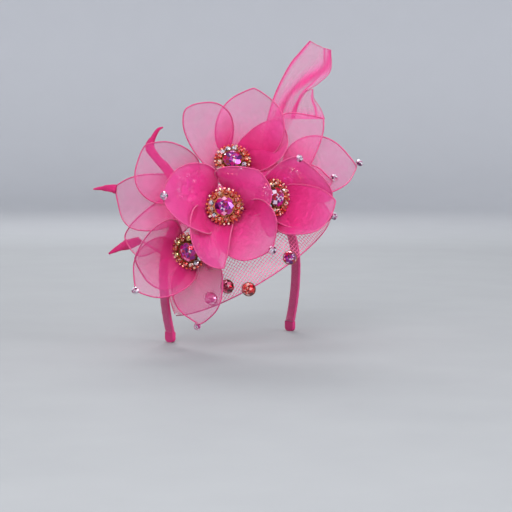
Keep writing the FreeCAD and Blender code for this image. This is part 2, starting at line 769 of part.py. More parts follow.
def add_tip_crystals(doc):
    """Round faceted crystals on the hollow side of some petals, at the tips."""
    sizes = doc.sizes
    crystals = []
    for bloom, number in TIP_CRYSTALS:
        tip, outward, inward = petal_tip(sizes, bloom, number)
        place = tip + outward * sizes.tip_crystal_outward + inward * sizes.tip_crystal_inward
        crystals.append(Part.makeSphere(sizes.tip_crystal_radius, place))
    return coded(doc, "tip_crystals", Part.makeCompound(crystals))


# ---------------------------------------------------------------- plume and rolled points

def rung_rows(rungs, bow):
    """Points across each rung, bowed in the middle."""
    rows = []
    for number, (left, right) in enumerate(rungs):
        after = rungs[min(number + 1, len(rungs) - 1)]
        before = rungs[max(number - 1, 0)]
        along = (after[0] + after[1] - before[0] - before[1]).normalize()
        bowed = along.cross(right - left).normalize() * bow
        row = []
        for column in range(COLUMNS):
            share = column / (COLUMNS - 1)
            row.append(left + (right - left) * share + bowed * (4 * share * (1 - share)))
        rows.append(row)
    return rows


def add_plume(doc):
    """Two sheer leaves that stand up behind the blooms, and the wire that carries them."""
    sizes = doc.sizes
    blade = sheet_solid(rung_rows(PLUME_BLADE, sizes.plume_blade_bow), sizes.sheer_thickness)
    flare = sheet_solid(rung_rows(PLUME_FLARE, sizes.plume_flare_bow), sizes.sheer_thickness)
    clear = sizes.plume_wire_radius + sizes.sheer_thickness
    edge = [left + (left - right).normalize() * clear for left, right in PLUME_BLADE]
    low = edge[0] + PLUME_WIRE_LOW
    foot = head_foot(sizes, low, sizes.net_thickness)
    return [coded(doc, "plume_blade", blade), coded(doc, "plume_flare", flare),
            coded(doc, "plume_wire", bent_wire([foot, low] + edge, sizes.plume_wire_radius))]


def rolled_point(stations):
    """A closed roll of cloth that narrows and bends along its stations."""
    rings = []
    for number, (place, radius) in enumerate(stations):
        after = stations[min(number + 1, len(stations) - 1)][0]
        before = stations[max(number - 1, 0)][0]
        rings.append(Part.Wire(Part.makeCircle(radius, place, after - before)))
    return Part.makeLoft(rings, True, False)


def add_rolled_points(doc):
    rolls = [rolled_point(stations) for stations in ROLLED_POINTS.values()]
    return coded(doc, "rolled_points", Part.makeCompound(rolls))


# ---------------------------------------------------------------- assembly

def build():
    doc = FreeCAD.newDocument("fascinator")
    add_sizes(doc)
    pieces = add_headband(doc)
    pieces += [add_net_base(doc), add_rim_wire(doc)]
    pieces += add_petals(doc)
    pieces += [add_petal_discs(doc), add_stems(doc)]
    for bloom in BLOOMS:
        pieces += [add_brooch_setting(doc, bloom), add_centre_stone(doc, bloom), add_ring_stones(doc, bloom)]
    pieces += add_net_crystals(doc)
    pieces.append(add_tip_crystals(doc))
    pieces += add_plume(doc)
    pieces.append(add_rolled_points(doc))
    doc.recompute()
    return doc, pieces


def check(doc, pieces):
    """Stop before anything is written if an object failed or a shape is unsound."""
    failed = [item.Name for item in doc.Objects if {"Invalid", "Error"} & set(item.State)]
    if failed:
        raise RuntimeError(f"objects that failed: {failed}")
    unsound = [item.Label for item in pieces
               if item.Shape.isNull() or not item.Shape.isValid() or not item.Shape.Solids]
    if unsound:
        raise RuntimeError(f"unsound shapes: {unsound}")


def export(pieces):
    os.makedirs("parts", exist_ok=True)
    for item in pieces:
        item.Shape.exportStep(f"parts/{item.Label}.step")


document, sub_parts = build()
check(document, sub_parts)
export(sub_parts)
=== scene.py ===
import math
import random

import bpy
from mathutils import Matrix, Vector, noise


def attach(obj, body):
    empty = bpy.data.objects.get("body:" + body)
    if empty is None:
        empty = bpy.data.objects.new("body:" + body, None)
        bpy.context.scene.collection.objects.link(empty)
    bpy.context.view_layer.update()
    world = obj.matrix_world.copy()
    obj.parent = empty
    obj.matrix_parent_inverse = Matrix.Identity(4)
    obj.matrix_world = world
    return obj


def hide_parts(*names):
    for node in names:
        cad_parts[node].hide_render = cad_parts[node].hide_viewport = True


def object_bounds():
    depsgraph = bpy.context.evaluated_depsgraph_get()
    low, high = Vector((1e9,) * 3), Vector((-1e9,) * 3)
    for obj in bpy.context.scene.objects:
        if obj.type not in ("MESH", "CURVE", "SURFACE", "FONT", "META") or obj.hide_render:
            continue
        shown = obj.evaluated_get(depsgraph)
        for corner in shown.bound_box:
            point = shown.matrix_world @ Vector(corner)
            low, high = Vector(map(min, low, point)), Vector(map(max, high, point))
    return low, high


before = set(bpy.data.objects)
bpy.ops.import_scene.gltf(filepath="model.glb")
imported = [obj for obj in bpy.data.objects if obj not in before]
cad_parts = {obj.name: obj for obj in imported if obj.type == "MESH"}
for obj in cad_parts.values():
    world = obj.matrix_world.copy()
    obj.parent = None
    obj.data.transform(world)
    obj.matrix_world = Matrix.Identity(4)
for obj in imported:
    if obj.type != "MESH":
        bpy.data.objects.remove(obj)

# Fascinator headpiece: six wired organza blooms with jewelled brooches on a shaped net base
# and a satin headband. Sizes are in millimetres until a mesh is made, and metres after that.
CAD_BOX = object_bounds()
MM = 0.001
UP = Vector((0, 0, 1))

# ---- sizes shared with the CAD model

BAND_RADIUS = 74.0
BAND_THICKNESS = 3.2
BAND_WIDTH = 11.0
BAND_ARM_RADIUS = 180.0
BAND_ARM_DROP = 50.0
HEAD_CENTRE = Vector((0, -30, 0))
HEAD_AXES = Vector((78, 95, 78))
NET_THICKNESS = 0.8
RIM_HEADING, RIM_RISE, RIM_OFFSET = 158, 56, 5.1
NET_LEFT_EDGE = 28.0
RIM_WIRE_RADIUS = 0.8
PETAL_ROOT_REACH = 10.0
PETAL_ROOT_HALF_WIDTH = 8.0
PETAL_WIRE_RADIUS = 0.5
WIDEST_AT = 0.55
# Petals that point less than POINTED get a small nib, which is drawn out of the last rows.
POINTED, NIB_PER_POINT, LONGEST_NIB, NIB_CLOSENESS = 1.5, 8.0, 3.0, 40
BROOCH_LIFT = 9.0
PLATE_THICKNESS = 1.2
CENTRE_STONE_RADIUS, CENTRE_STONE_HEIGHT = 8.0, 5.0
BEZEL_WALL, BEZEL_HEIGHT = 0.6, 2.4
RING_STONES, RING_STONE_RADIUS, RING_STONE_HEIGHT, RING_CIRCLE = 13, 2.45, 2.4, 11.2
RING_CUP_WALL, RING_CUP_HEIGHT = 0.3, 1.0
SEED_BEADS, SEED_BEAD_RADIUS, SEED_CIRCLE = 26, 1.4, 14.5
NET_CRYSTAL_RADIUS, NET_CRYSTAL_HEIGHT = 5.6, 5.0
TIP_CRYSTAL_RADIUS = 3.4
TIP_CRYSTAL_OUTWARD, TIP_CRYSTAL_INWARD = 2.2, 3.8
PLUME_WIRE_RADIUS = 0.7
# From the foot of the plume's blade to the point where its wire turns down to the net.
PLUME_WIRE_TURN = Vector((-4, 4, -30))

# Where each bloom's disc stands, and the heading and rise of the way it faces, in degrees.
BLOOMS = {
    "front": ((-68, -75, 60), -133, 7),
    "crown": ((-38, -48, 93), -130, 34),
    "brow": ((-35, -90, 67), -88, 6),
    "temple": ((-81, -50, 25), -155, -11),
    "rear": ((-59, -25, 72), -155, 18),
    "left": ((-6, -77, 76), -107, 42),
}

# Each petal: turn about the bloom's axis, lift at the root, curl lost by the tip, rib length,
# half-widths to its left and right, point (1 round, 1.6 pointed), cup, twist and lean.
PETALS = {
    "front": [
        (174, 56, 17, 52, 28, 32, 0.8, 48, 18, 2),
        (39, 38, 15, 34, 27, 23, 1.4, 31, 14, 19),
        (-46, 30, 27, 41, 26, 26, 0.9, 32, 2, 8),
        (-115, 56, 39, 53, 11, 27, 1.1, 48, -25, 55),
    ],
    "crown": [
        (154, 56, 3, 58, 14, 29, 0.8, 11, -3, -17),
        (74, 40, 19, 57, 21, 39, 1.1, 20, -18, -2),
        (36, 36, 16, 46, 10, 26, 1.3, 22, 10, 5),
        (-30, 24, 10, 36, 16, 16, 1.2, 20, 0, 0),
    ],
    "brow": [
        (71, 56, 2, 38, 9, 46, 1.4, 13, -25, 14),
        (-14, 56, 2, 47, 12, 40, 1.0, 41, -13, 10),
        (-30, 54, 11, 46, 13, 19, 1.2, 28, -3, 6),
        (-112, 24, -8, 25, 12, 10, 1.1, 30, 0, 0),
    ],
    "temple": [
        (183, 56, 4, 42, 28, 32, 1.1, 33, -11, -7),
        (-142, 56, 13, 50, 23, 27, 1.1, 41, 9, -4),
        (-79, 33, 20, 51, 29, 21, 1.1, 25, 6, -4),
        (8, 43, 2, 30, 15, 15, 1.1, 30, 0, 0),
    ],
    "rear": [
        (144, 55, 16, 48, 31, 23, 1.0, 35, -12, -6),
        (186, 32, 23, 58, 40, 11, 1.1, 25, -8, -6),
        (-133, 22, 31, 62, 35, 10, 0.8, 31, -3, -21),
    ],
    "left": [
        (20, 27, 22, 56, 32, 27, 1.1, 20, -4, -28),
        (53, 39, 19, 60, 34, 9, 1.1, 28, -8, -6),
        (-8, 29, 9, 29, 16, 17, 1.1, 30, 0, 0),
    ],
}

# Petals that carry a crystal at the tip, as (bloom, petal number).
TIP_CRYSTALS = [
    ("front", 1), ("front", 3), ("brow", 1), ("brow", 3),
    ("temple", 2), ("temple", 3), ("left", 1), ("left", 3),
]
# Large crystals on the net: heading and rise on the head's ellipsoid, and the stone's colours.
NET_CRYSTALS = [
    (-114.5, 13.6, "violet"), (-138, -5.3, "red"), (-150, -4, "garnet"), (-160, -12, "rose"),
]

# The plume's two sheer leaves: rungs from root to tip, each from its left end to its right end.
PLUME_BLADE = [
    ((9, -39, 134), (21, -60, 134)),
    ((16, -41, 156), (27, -63, 153)),
    ((27, -46, 179), (41, -69, 164)),
    ((36, -50, 191), (52, -72, 175)),
    ((45, -53, 201), (56, -68, 193)),
]
# The gathered tail in which the plume's cloth goes down its wire to the net, from the net up.
PLUME_TAIL = [
    ((4, -34, 82), (8, -39, 82)),
    ((5, -35, 104), (12, -46, 104)),
    ((9, -39, 134), (21, -60, 134)),
]
PLUME_FLARE = [
    ((20, -56, 133), (49, -68, 133)),
    ((22, -57, 143), (46, -66, 142)),
    ((26, -60, 151), (39, -65, 151)),
    ((31, -63, 158), (37, -66, 159)),
]
# Rolled points: places along each roll's centre line, and the roll's radius there.
ROLLED_POINTS = {
    "upper": [
        ((-66, -4, 76), 3.5), ((-68, 3, 88), 4.0), ((-74, 11, 100), 3.5),
        ((-77, 16, 109), 4.0), ((-75, 15, 117), 2.4), ((-72, 12, 124), 1.5),
        ((-68, 10, 126), 0.6),
    ],
    "rear": [
        ((-107, 25, 73), 4.0), ((-112, 30, 74), 3.0), ((-116, 34, 74), 1.8),
        ((-121, 39, 73), 0.6),
    ],
    "lower": [
        ((-85, 21, 29), 3.0), ((-91, 26, 26), 4.5), ((-95, 30, 24), 4.0),
        ((-100, 34, 21), 2.4), ((-106, 38, 17), 0.8),
    ],
}

# ---- small geometry


def unit_from_angles(heading, rise):
    """The direction with a heading about +Z and a rise above level, in degrees."""
    across, up = math.radians(heading), math.radians(rise)
    return Vector((math.cos(up) * math.cos(across), math.cos(up) * math.sin(across), math.sin(up)))


def angles_round(count, offset=0.0):
    """Even angles round a whole turn; offset is a share of one step."""
    return [2 * math.pi * (step + offset) / count for step in range(count)]


def times(first, second):
    """Product of two vectors, part by part."""
    return Vector(a * b for a, b in zip(first, second))


def over(first, second):
    """Quotient of two vectors, part by part."""
    return Vector(a / b for a, b in zip(first, second))


def grown_axes(distance):
    """The head ellipsoid's half-axes, made longer by a distance."""
    return HEAD_AXES + Vector((distance, distance, distance))


def on_head(unit, grown):
    """The point of the grown head ellipsoid in a direction of its own unit sphere."""
    return HEAD_CENTRE + times(unit, grown_axes(grown))


def kept_stretch(points, kept):
    """The one unbroken stretch of a closed path whose points are kept, in order."""
    count = len(points)
    first = next(step for step in range(count) if kept[step] and not kept[step - 1])
    return [points[(first + step) % count] for step in range(count) if kept[(first + step) % count]]


def smooth_path(points, count):
    """`count` points on a Catmull-Rom curve through the given points or numbers."""
    first = points[0] * 2 - points[1]
    last = points[-1] * 2 - points[-2]
    padded = [first] + list(points) + [last]
    spans = len(points) - 1
    path = []
    for step in range(count):
        where = step * spans / (count - 1)
        span = min(int(where), spans - 1)
        t = where - span
        a, b, c, d = padded[span:span + 4]
        path.append((b * 2 + (c - a) * t + (a * 2 - b * 5 + c * 4 - d) * t ** 2
                     + (b * 3 - a - c * 3 + d) * t ** 3) * 0.5)
    return path


def side_frames(path):
    """A sideways and an upward direction at each point of a path, without sudden turns."""
    side = None
    frames = []
    for number in range(len(path)):
        ahead = (path[min(number + 1, len(path) - 1)] - path[max(number - 1, 0)]).normalized()
        if side is None:
            side = ahead.orthogonal()
        side = (side - ahead * side.dot(ahead)).normalized()
        frames.append((side, ahead.cross(side)))
    return frames


# ---- meshes

WHITE = (1.0, 1.0, 1.0)


class Pile:
    """Points and faces of one piece, gathered before its mesh is made."""

    def __init__(self):
        self.points = []
        self.shares = []
        self.faces = []
        self.corner_uvs = []
        self.tints = []
        self.slots = []
        self.smooth = []

    def point(self, place, share=0.0):
        self.points.append(place)
        self.shares.append(share)
        return len(self.points) - 1

    def face(self, corners, uvs=None, tint=WHITE, slot=0, smooth=True):
        self.faces.append(corners)
        self.corner_uvs.append(uvs or [(0.0, 0.0)] * len(corners))
        self.tints.append(tint)
        self.slots.append(slot)
        self.smooth.append(smooth)

    def grid(self, rows, uvs, shares):
        """A sheet through rows of points."""
        numbers = [[self.point(place, share) for place, share in zip(row, line)]
                   for row, line in zip(rows, shares)]
        for r in range(len(rows) - 1):
            for c in range(len(rows[0]) - 1):
                corners = [(r, c), (r, c + 1), (r + 1, c + 1), (r + 1, c)]
                self.face([numbers[i][j] for i, j in corners], [uvs[i][j] for i, j in corners])

    def wall(self, rings, uv_at):
        """Faces between closed rings; uv_at gives the flat map for a ring and a step round it."""
        sides = len(rings[0])
        for r in range(len(rings) - 1):
            for c in range(sides):
                after = (c + 1) % sides
                self.face([rings[r][c], rings[r][after], rings[r + 1][after], rings[r + 1][c]],
                          [uv_at(r, c), uv_at(r, c + 1), uv_at(r + 1, c + 1), uv_at(r + 1, c)])

    def tube(self, path, radius, sides, section=None, share=0.0):
        """A closed tube. radius is one number, or one for each point of the path; section gives a
        (sideways, upward) pair for a step along and a step around in place of a circle."""
        frames = side_frames(path)
        lengths = [0.0]
        for before, after in zip(path, path[1:]):
            lengths.append(lengths[-1] + (after - before).length)
        rings = []
        for number, place in enumerate(path):
            side, up = frames[number]
            size = radius[number] if hasattr(radius, "__len__") else radius
            ring = []
            for step, angle in enumerate(angles_round(sides)):
                across, rise = section(number, step) if section else (math.cos(angle), math.sin(angle))
                ring.append(self.point(place + (side * across + up * rise) * size, share))
            rings.append(ring)
        self.wall(rings, lambda r, c: (lengths[r] * MM, c / sides))
        self.face(rings[0][::-1])
        self.face(rings[-1])

    def make(self, name, materials, nodes=()):
        """The Blender object, riding on the part and standing for the CAD nodes."""
        mesh = bpy.data.meshes.new(name)
        mesh.from_pydata([place * MM for place in self.points], [], self.faces)
        cloth = mesh.uv_layers.new(name="cloth")
        tint = mesh.color_attributes.new(name="facet", type="FLOAT_COLOR", domain="CORNER")
        share = mesh.attributes.new(name="share", type="FLOAT", domain="POINT")
        share.data.foreach_set("value", self.shares)
        cloth.data.foreach_set("uv", [value for uvs in self.corner_uvs for uv in uvs for value in uv])
        tint.data.foreach_set("color", [value for face, colour in zip(self.faces, self.tints)
                                        for _ in face for value in (*colour, 1.0)])
        mesh.polygons.foreach_set("use_smooth", self.smooth)
        mesh.polygons.foreach_set("material_index", self.slots)
        for material in materials:
            mesh.materials.append(material)
        mesh.update()
        piece = bpy.data.objects.new(name, mesh)
        bpy.context.scene.collection.objects.link(piece)
        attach(piece, "root")
        if nodes:
            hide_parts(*nodes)
        return piece


# ---- materials


class Paint:
    """A node material with short ways to add and join nodes."""

    def __init__(self, name):
        self.material = bpy.data.materials.new(name)
        self.material.use_nodes = True
        self.tree = self.material.node_tree
        self.tree.nodes.clear()
        self.out = self.tree.nodes.new("ShaderNodeOutputMaterial")

    def put(self, kind, settings=None, **inputs):
        """A node with its settings, and its inputs given as values or as other nodes' outputs."""
        made = self.tree.nodes.new(kind)
        for name, value in (settings or {}).items():
            setattr(made, name, value)
        for name, value in inputs.items():
            key = int(name[1:]) if name[0] == "_" else name.replace("_", " ")
            socket = made.inputs[key]
            if isinstance(value, bpy.types.NodeSocket):
                self.tree.links.new(value, socket)
            else:
                socket.default_value = value
        return made

    def maths(self, operation, first, second=0.0, third=0.0):
        inputs = {"_0": first, "_1": second, "_2": third}
        return self.put("ShaderNodeMath", {"operation": operation}, **inputs).outputs[0]

    def total(self, *values):
        """The sum of several values."""
        result = values[0]
        for value in values[1:]:
            result = self.maths("ADD", result, value)
        return result

    def wave(self, turns):
        """0 to 1 and back over each whole turn, given in radians."""
        return self.maths("MULTIPLY_ADD", self.maths("SINE", turns), 0.5, 0.5)

    def uv(self, axis):
        """A coordinate of the cloth's own flat map, in metres."""
        flat = self.put("ShaderNodeUVMap", {"uv_map": "cloth"}).outputs[0]
        return self.put("ShaderNodeSeparateXYZ", Vector=flat).outputs[axis]

    def place(self):
        return self.put("ShaderNodeTexCoord").outputs["Object"]

    def attribute(self, name):
        return self.put("ShaderNodeAttribute", {"attribute_name": name})

    def threads(self, coordinate, pitch):
        """0 to 1 and back over each pitch, as threads side by side."""
        return self.wave(self.maths("MULTIPLY", coordinate, 2 * math.pi / pitch))

    def cloud(self, scale, detail=3.0):
        """Soft unevenness from 0 to 1, finer as the scale goes up."""
        noise_node = self.put("ShaderNodeTexNoise", Vector=self.place(), Scale=scale, Detail=detail)
        return noise_node.outputs["Fac"]

    def span(self, value, low, high):
        """The value's 0 to 1 laid over low to high."""
        return self.put("ShaderNodeMapRange", _0=value, _3=low, _4=high).outputs[0]

    def ramp(self, value, *stops):
        """Colours at shares of the value's 0 to 1."""
        made = self.put("ShaderNodeValToRGB", Fac=value)
        elements = made.color_ramp.elements
        while len(elements) < len(stops):
            elements.new(0.5)
        for element, (share, colour) in zip(elements, stops):
            element.position = share
            element.color = (*colour, 1.0)
        return made.outputs[0]

    def blend(self, factor, first, second, kind="MIX"):
        made = self.put("ShaderNodeMix", {"data_type": "RGBA", "blend_type": kind}, _0=factor)
        for socket, value in ((made.inputs[6], first), (made.inputs[7], second)):
            if isinstance(value, bpy.types.NodeSocket):
                self.tree.links.new(value, socket)
            else:
                socket.default_value = (*value, 1.0)
        return made.outputs[2]

    def bump(self, height, depth):
        """Relief of a depth in metres."""
        return self.put("ShaderNodeBump", Height=height, Distance=depth).outputs[0]

    def finish(self, shader):
        self.tree.links.new(shader.outputs[0], self.out.inputs[0])
        return self.material

    def surface(self, colour, roughness, relief=None, depth=0.0, **levels):
        """The finished material: roughness as a value and its low and high, relief with its depth
        in metres, and a level for any other input."""
        if relief:
            levels["Normal"] = self.bump(relief, depth)
        return self.finish(self.put("ShaderNodeBsdfPrincipled", Base_Color=colour,
                                    Roughness=self.span(*roughness), **levels))


# Distances between the threads and the coarser ribs of the organza, in metres.
WARP_PITCH, WEFT_PITCH, RIB_PITCH = 0.00042, 0.00046, 0.0016
WEAVE_DEPTH = 0.00012
SHEEN_PINK = (1.0, 0.55, 0.78, 1.0)
# Share of the light on the cloth that comes through it from behind.
LIGHT_THROUGH = 0.36


def organza(name, covers, colours):
    """Sheer woven cloth: more cover where it is gathered at the root, and a deeper colour there that is
    partly the layered cloth's own and partly painted shade round the brooch. covers and colours are given
    at shares of the way from root to tip."""
    paint = Paint(name)
    share = paint.attribute("share").outputs["Fac"]
    ribs = paint.threads(paint.uv(0), RIB_PITCH)
    warp, weft = paint.threads(paint.uv(0), WARP_PITCH), paint.threads(paint.uv(1), WEFT_PITCH)
    weave = paint.maths("MAXIMUM", warp, weft)
    patchy = paint.cloud(90.0)
    cover = paint.ramp(share, *[(place, (value,) * 3) for place, value in covers])
    cover = paint.total(cover, paint.span(weave, -0.09, 0.05), paint.span(ribs, -0.03, 0.03),
                        paint.span(patchy, -0.06, 0.06))
    # Deeper crimson towards the root: partly the gathered cloth's own colour, partly painted shade round
    # the brooch.
    colour = paint.ramp(share, *colours)
    colour = paint.blend(paint.span(ribs, 0.0, 0.12), colour, colours[0][1])
    height = paint.total(paint.maths("MULTIPLY", weave, 0.4), ribs)
    normal = paint.bump(height, WEAVE_DEPTH)
    cloth = paint.put("ShaderNodeBsdfPrincipled", Base_Color=colour, Normal=normal,
                      Roughness=paint.span(patchy, 0.5, 0.68), Specular_IOR_Level=0.2,
                      Sheen_Weight=0.12, Sheen_Roughness=0.35, Sheen_Tint=SHEEN_PINK)
    glow = paint.put("ShaderNodeBsdfTranslucent", Color=colour, Normal=normal)
    body = paint.put("ShaderNodeMixShader", _0=LIGHT_THROUGH, _1=cloth.outputs[0], _2=glow.outputs[0])
    clear = paint.put("ShaderNodeBsdfTransparent")
    return paint.finish(paint.put("ShaderNodeMixShader", _0=cover, _1=clear.outputs[0],
                                  _2=body.outputs[0]))


def wound_thread(name, colour, deep_tone_and_groove_shade, pitch):
    """Thread wound round a wire: a fine helix in gloss and relief, and in colour as painted shade in the
    grooves between its turns.
    """
    paint = Paint(name)
    helix = paint.total(paint.maths("DIVIDE", paint.uv(0), pitch), paint.uv(1))
    wound = paint.wave(paint.maths("MULTIPLY", helix, 2 * math.pi))
    shade = paint.blend(paint.span(paint.cloud(140.0), 0.0, 0.5), colour, deep_tone_and_groove_shade)
    # Painted shade: darker in the grooves between the turns of the thread.
    shade = paint.blend(paint.span(wound, 0.55, 0.0), shade, deep_tone_and_groove_shade)
    return paint.surface(shade, (wound, 0.55, 0.36), wound, 0.00012, Sheen_Weight=0.3)


def satin(name):
    """Ribbon satin: fine cross ribs, a soft gloss and slight unevenness."""
    paint = Paint(name)
    ribs = paint.threads(paint.uv(0), 0.0005)
    patchy = paint.cloud(60.0)
    colour = paint.blend(patchy, (0.55, 0.012, 0.14), (0.80, 0.035, 0.27))
    colour = paint.blend(paint.span(ribs, 0.0, 0.25), colour, (0.40, 0.008, 0.10))
    return paint.surface(colour, (patchy, 0.28, 0.42), ribs, 0.00008, Sheen_Weight=0.25)


def net_thread(name):
    """Fine stiff thread, lighter and darker along its run."""
    paint = Paint(name)
    patchy = paint.cloud(220.0)
    colour = paint.blend(patchy, (0.80, 0.05, 0.24), (0.98, 0.17, 0.42))
    return paint.surface(colour, (patchy, 0.4, 0.62), patchy, 0.00005, Sheen_Weight=0.3)


def felt(name):
    """Pressed wool with loose fibres on it."""
    paint = Paint(name)
    fibres = paint.cloud(1400.0, 6.0)
    colour = paint.blend(paint.cloud(120.0), (0.50, 0.01, 0.12), (0.70, 0.03, 0.22))
    colour = paint.blend(paint.span(fibres, 0.0, 0.4), colour, (0.30, 0.004, 0.07))
    return paint.surface(colour, (fibres, 0.75, 0.95), fibres, 0.0003, Sheen_Weight=0.6)


def metal(name, bright, worn, smooth, rough):
    """Plated or bare metal, a little duller and darker in patches."""
    paint = Paint(name)
    patchy = paint.cloud(260.0)
    grain = paint.cloud(2600.0, 2.0)
    colour = paint.blend(paint.span(patchy, 0.0, 0.8), bright, worn)
    return paint.surface(colour, (patchy, smooth, rough), grain, 0.00004, Metallic=1.0)


def moulded(name):
    """Smooth moulded plastic with a faint orange-peel surface."""
    paint = Paint(name)
    peel = paint.cloud(900.0, 2.0)
    colour = paint.blend(paint.cloud(70.0), (0.52, 0.012, 0.13), (0.66, 0.02, 0.2))
    return paint.surface(colour, (peel, 0.24, 0.36), peel, 0.00003)


def crystal(name, metallic):
    """Foil-backed cut glass: each facet keeps the colour it was given, some of them painted glints and
    painted dark reflections, under a clear gloss.
    """
    paint = Paint(name)
    facet = paint.attribute("facet").outputs["Color"]
    drift = paint.cloud(700.0, 1.0)
    colour = paint.blend(paint.span(drift, 0.0, 0.35), facet, (0.9, 0.75, 0.95), "MULTIPLY")
    return paint.surface(colour, (drift, 0.04, 0.12), Metallic=metallic, Coat_Weight=1.0,
                         Coat_Roughness=0.03)


CRIMSON, HOT_PINK, PINK = (0.58, 0.006, 0.10), (0.95, 0.040, 0.31), (1.0, 0.12, 0.46)
# CRIMSON at the petals' roots is partly painted shade round the brooches.
RICH_CLOTH = organza("organza_rich", [(0.0, 0.99), (0.3, 0.95), (0.65, 0.87), (1.0, 0.66)],
                     [(0.0, CRIMSON), (0.4, HOT_PINK), (1.0, PINK)])
MIDDLE_CLOTH = organza("organza_middle", [(0.0, 0.97), (0.3, 0.72), (0.6, 0.48), (1.0, 0.36)],
                       [(0.0, CRIMSON), (0.3, HOT_PINK), (0.8, PINK)])
SHEER_CLOTH = organza("organza_sheer", [(0.0, 0.92), (0.25, 0.66), (0.55, 0.47), (1.0, 0.38)],
                      [(0.0, CRIMSON), (0.2, HOT_PINK), (0.6, PINK)])
PLUME_CLOTH = organza("organza_plume", [(0.0, 0.88), (0.45, 0.62), (1.0, 0.34)],
                      [(0.0, HOT_PINK), (0.5, PINK), (1.0, (1.0, 0.14, 0.45))])
ROLL_CLOTH = organza("organza_roll", [(0.0, 0.90), (1.0, 0.86)],
                     [(0.0, (0.80, 0.02, 0.22)), (1.0, (0.98, 0.07, 0.34))])
BOUND_EDGE = wound_thread("bound_edge", (0.86, 0.04, 0.28), (0.58, 0.01, 0.15), 0.0007)
WRAPPED_STEM = wound_thread("wrapped_stem", (0.70, 0.03, 0.22), (0.40, 0.005, 0.09), 0.0012)
SATIN = satin("satin_ribbon")
NET = net_thread("net_thread")
FELT = felt("felt_disc")
GILT = metal("gilt_metal", (0.36, 0.11, 0.05), (0.12, 0.03, 0.015), 0.22, 0.45)
STEEL = metal("spring_steel", (0.62, 0.63, 0.65), (0.35, 0.36, 0.38), 0.25, 0.45)
TIP_PLASTIC = moulded("tip_plastic")
CRYSTAL = crystal("cut_crystal", 0.75)
BEAD = crystal("glass_bead", 0.35)

# Facet colours, each as often as it is listed: the hues are the stones' own, and the near-white and
# near-black ones are painted glints and painted dark reflections.
STONES = {
    "violet": [(0.32, 0.01, 0.28), (0.55, 0.01, 0.25), (0.60, 0.01, 0.06), (0.06, 0.0, 0.10),
               (0.62, 0.04, 0.48), (1.0, 0.80, 0.95), (0.40, 0.01, 0.03), (0.12, 0.01, 0.18)],
    "red": [(0.80, 0.02, 0.03), (0.35, 0.003, 0.01), (0.95, 0.10, 0.06), (0.12, 0.0, 0.01),
            (1.0, 0.6, 0.5)],
    "garnet": [(0.30, 0.003, 0.04), (0.12, 0.0, 0.02), (0.50, 0.02, 0.08), (0.05, 0.0, 0.01),
               (0.8, 0.3, 0.4)],
    "rose": [(0.85, 0.30, 0.50), (0.95, 0.65, 0.80), (0.60, 0.10, 0.30), (1.0, 0.9, 0.95),
             (0.35, 0.04, 0.15)],
    "amber": [(0.70, 0.07, 0.03), (0.50, 0.02, 0.02), (0.90, 0.22, 0.09), (0.20, 0.01, 0.01),
              (0.65, 0.02, 0.03), (0.38, 0.02, 0.02), (1.0, 0.70, 0.55)],
    "gold": [(0.85, 0.36, 0.14), (0.55, 0.14, 0.05), (1.0, 0.82, 0.65), (0.22, 0.05, 0.02),
             (1.0, 0.95, 0.92)],
    "olive": [(0.62, 0.45, 0.10), (0.30, 0.18, 0.04), (0.95, 0.85, 0.50), (0.75, 0.20, 0.05)],
    "clear": [(1.0, 1.0, 1.0), (0.95, 0.96, 1.0), (0.50, 0.52, 0.60), (1.0, 0.97, 1.0),
              (0.03, 0.03, 0.04), (0.20, 0.18, 0.24)],
    "blushed": [(1.0, 0.96, 1.0), (0.85, 0.30, 0.50), (0.50, 0.48, 0.58), (0.45, 0.03, 0.20),
                (1.0, 0.85, 0.93), (0.10, 0.02, 0.08), (0.95, 0.96, 1.0)],
}


def facet_hue_and_glint(chance, kind):
    """One of a kind of stone's facet colours at random, painted glints and dark reflections among them."""
    return chance.choice(STONES[kind])


# ---- cut stones

# Reach of the table's corners, of its inner facets and of the star facets, as shares of the
# stone's radius, and the height of the star facets as a share of the crown's.
TABLE_REACH, INNER_REACH, STAR_REACH, STAR_HEIGHT = 0.56, 0.28, 0.80, 0.55
# Places along a bead and its reach there, as shares of its radius.
BEAD_PROFILE = [(-0.8, 0.45), (-0.45, 0.9), (0.45, 0.9), (0.8, 0.45)]
BEAD_SIDES = 7
BEAD_FULLNESS = 1.1


def cut_stone(pile, frame_at, radius, crown, pavilion, kind, chance, sides=8):
    """A round brilliant: table, star, kite and girdle facets, and a pointed pavilion.
    frame_at is the centre of the girdle and the three directions of the stone."""
    centre, side, up, facing = frame_at

    def at(share, angle, height):
        return pile.point(centre + (side * math.cos(angle) + up * math.sin(angle)) * (radius * share)
                          + facing * height)

    table = [at(TABLE_REACH, angle, crown) for angle in angles_round(sides)]
    inner = [at(INNER_REACH, angle, crown) for angle in angles_round(sides, 0.5)]
    middle = at(0.0, 0.0, crown)
    stars = [at(STAR_REACH, angle, crown * STAR_HEIGHT) for angle in angles_round(sides, 0.5)]
    girdle = [at(1.0, angle, 0.0) for angle in angles_round(2 * sides)]
    culet = at(0.0, 0.0, -pavilion)

    def facet(*corners):
        pile.face(list(corners), tint=facet_hue_and_glint(chance, kind), smooth=False)

    for number in range(sides):
        after, before = (number + 1) % sides, (number - 1) % sides
        here, half_way, there = (girdle[(2 * number + half) % (2 * sides)] for half in range(3))
        facet(middle, inner[number], inner[after])
        facet(inner[number], table[after], inner[after])
        facet(inner[number], table[number], table[after])
        facet(table[number], stars[number], table[after])
        facet(table[number], stars[before], here, stars[number])
        facet(stars[number], here, half_way)
        facet(stars[number], half_way, there)
        facet(here, culet, half_way)
        facet(half_way, culet, there)


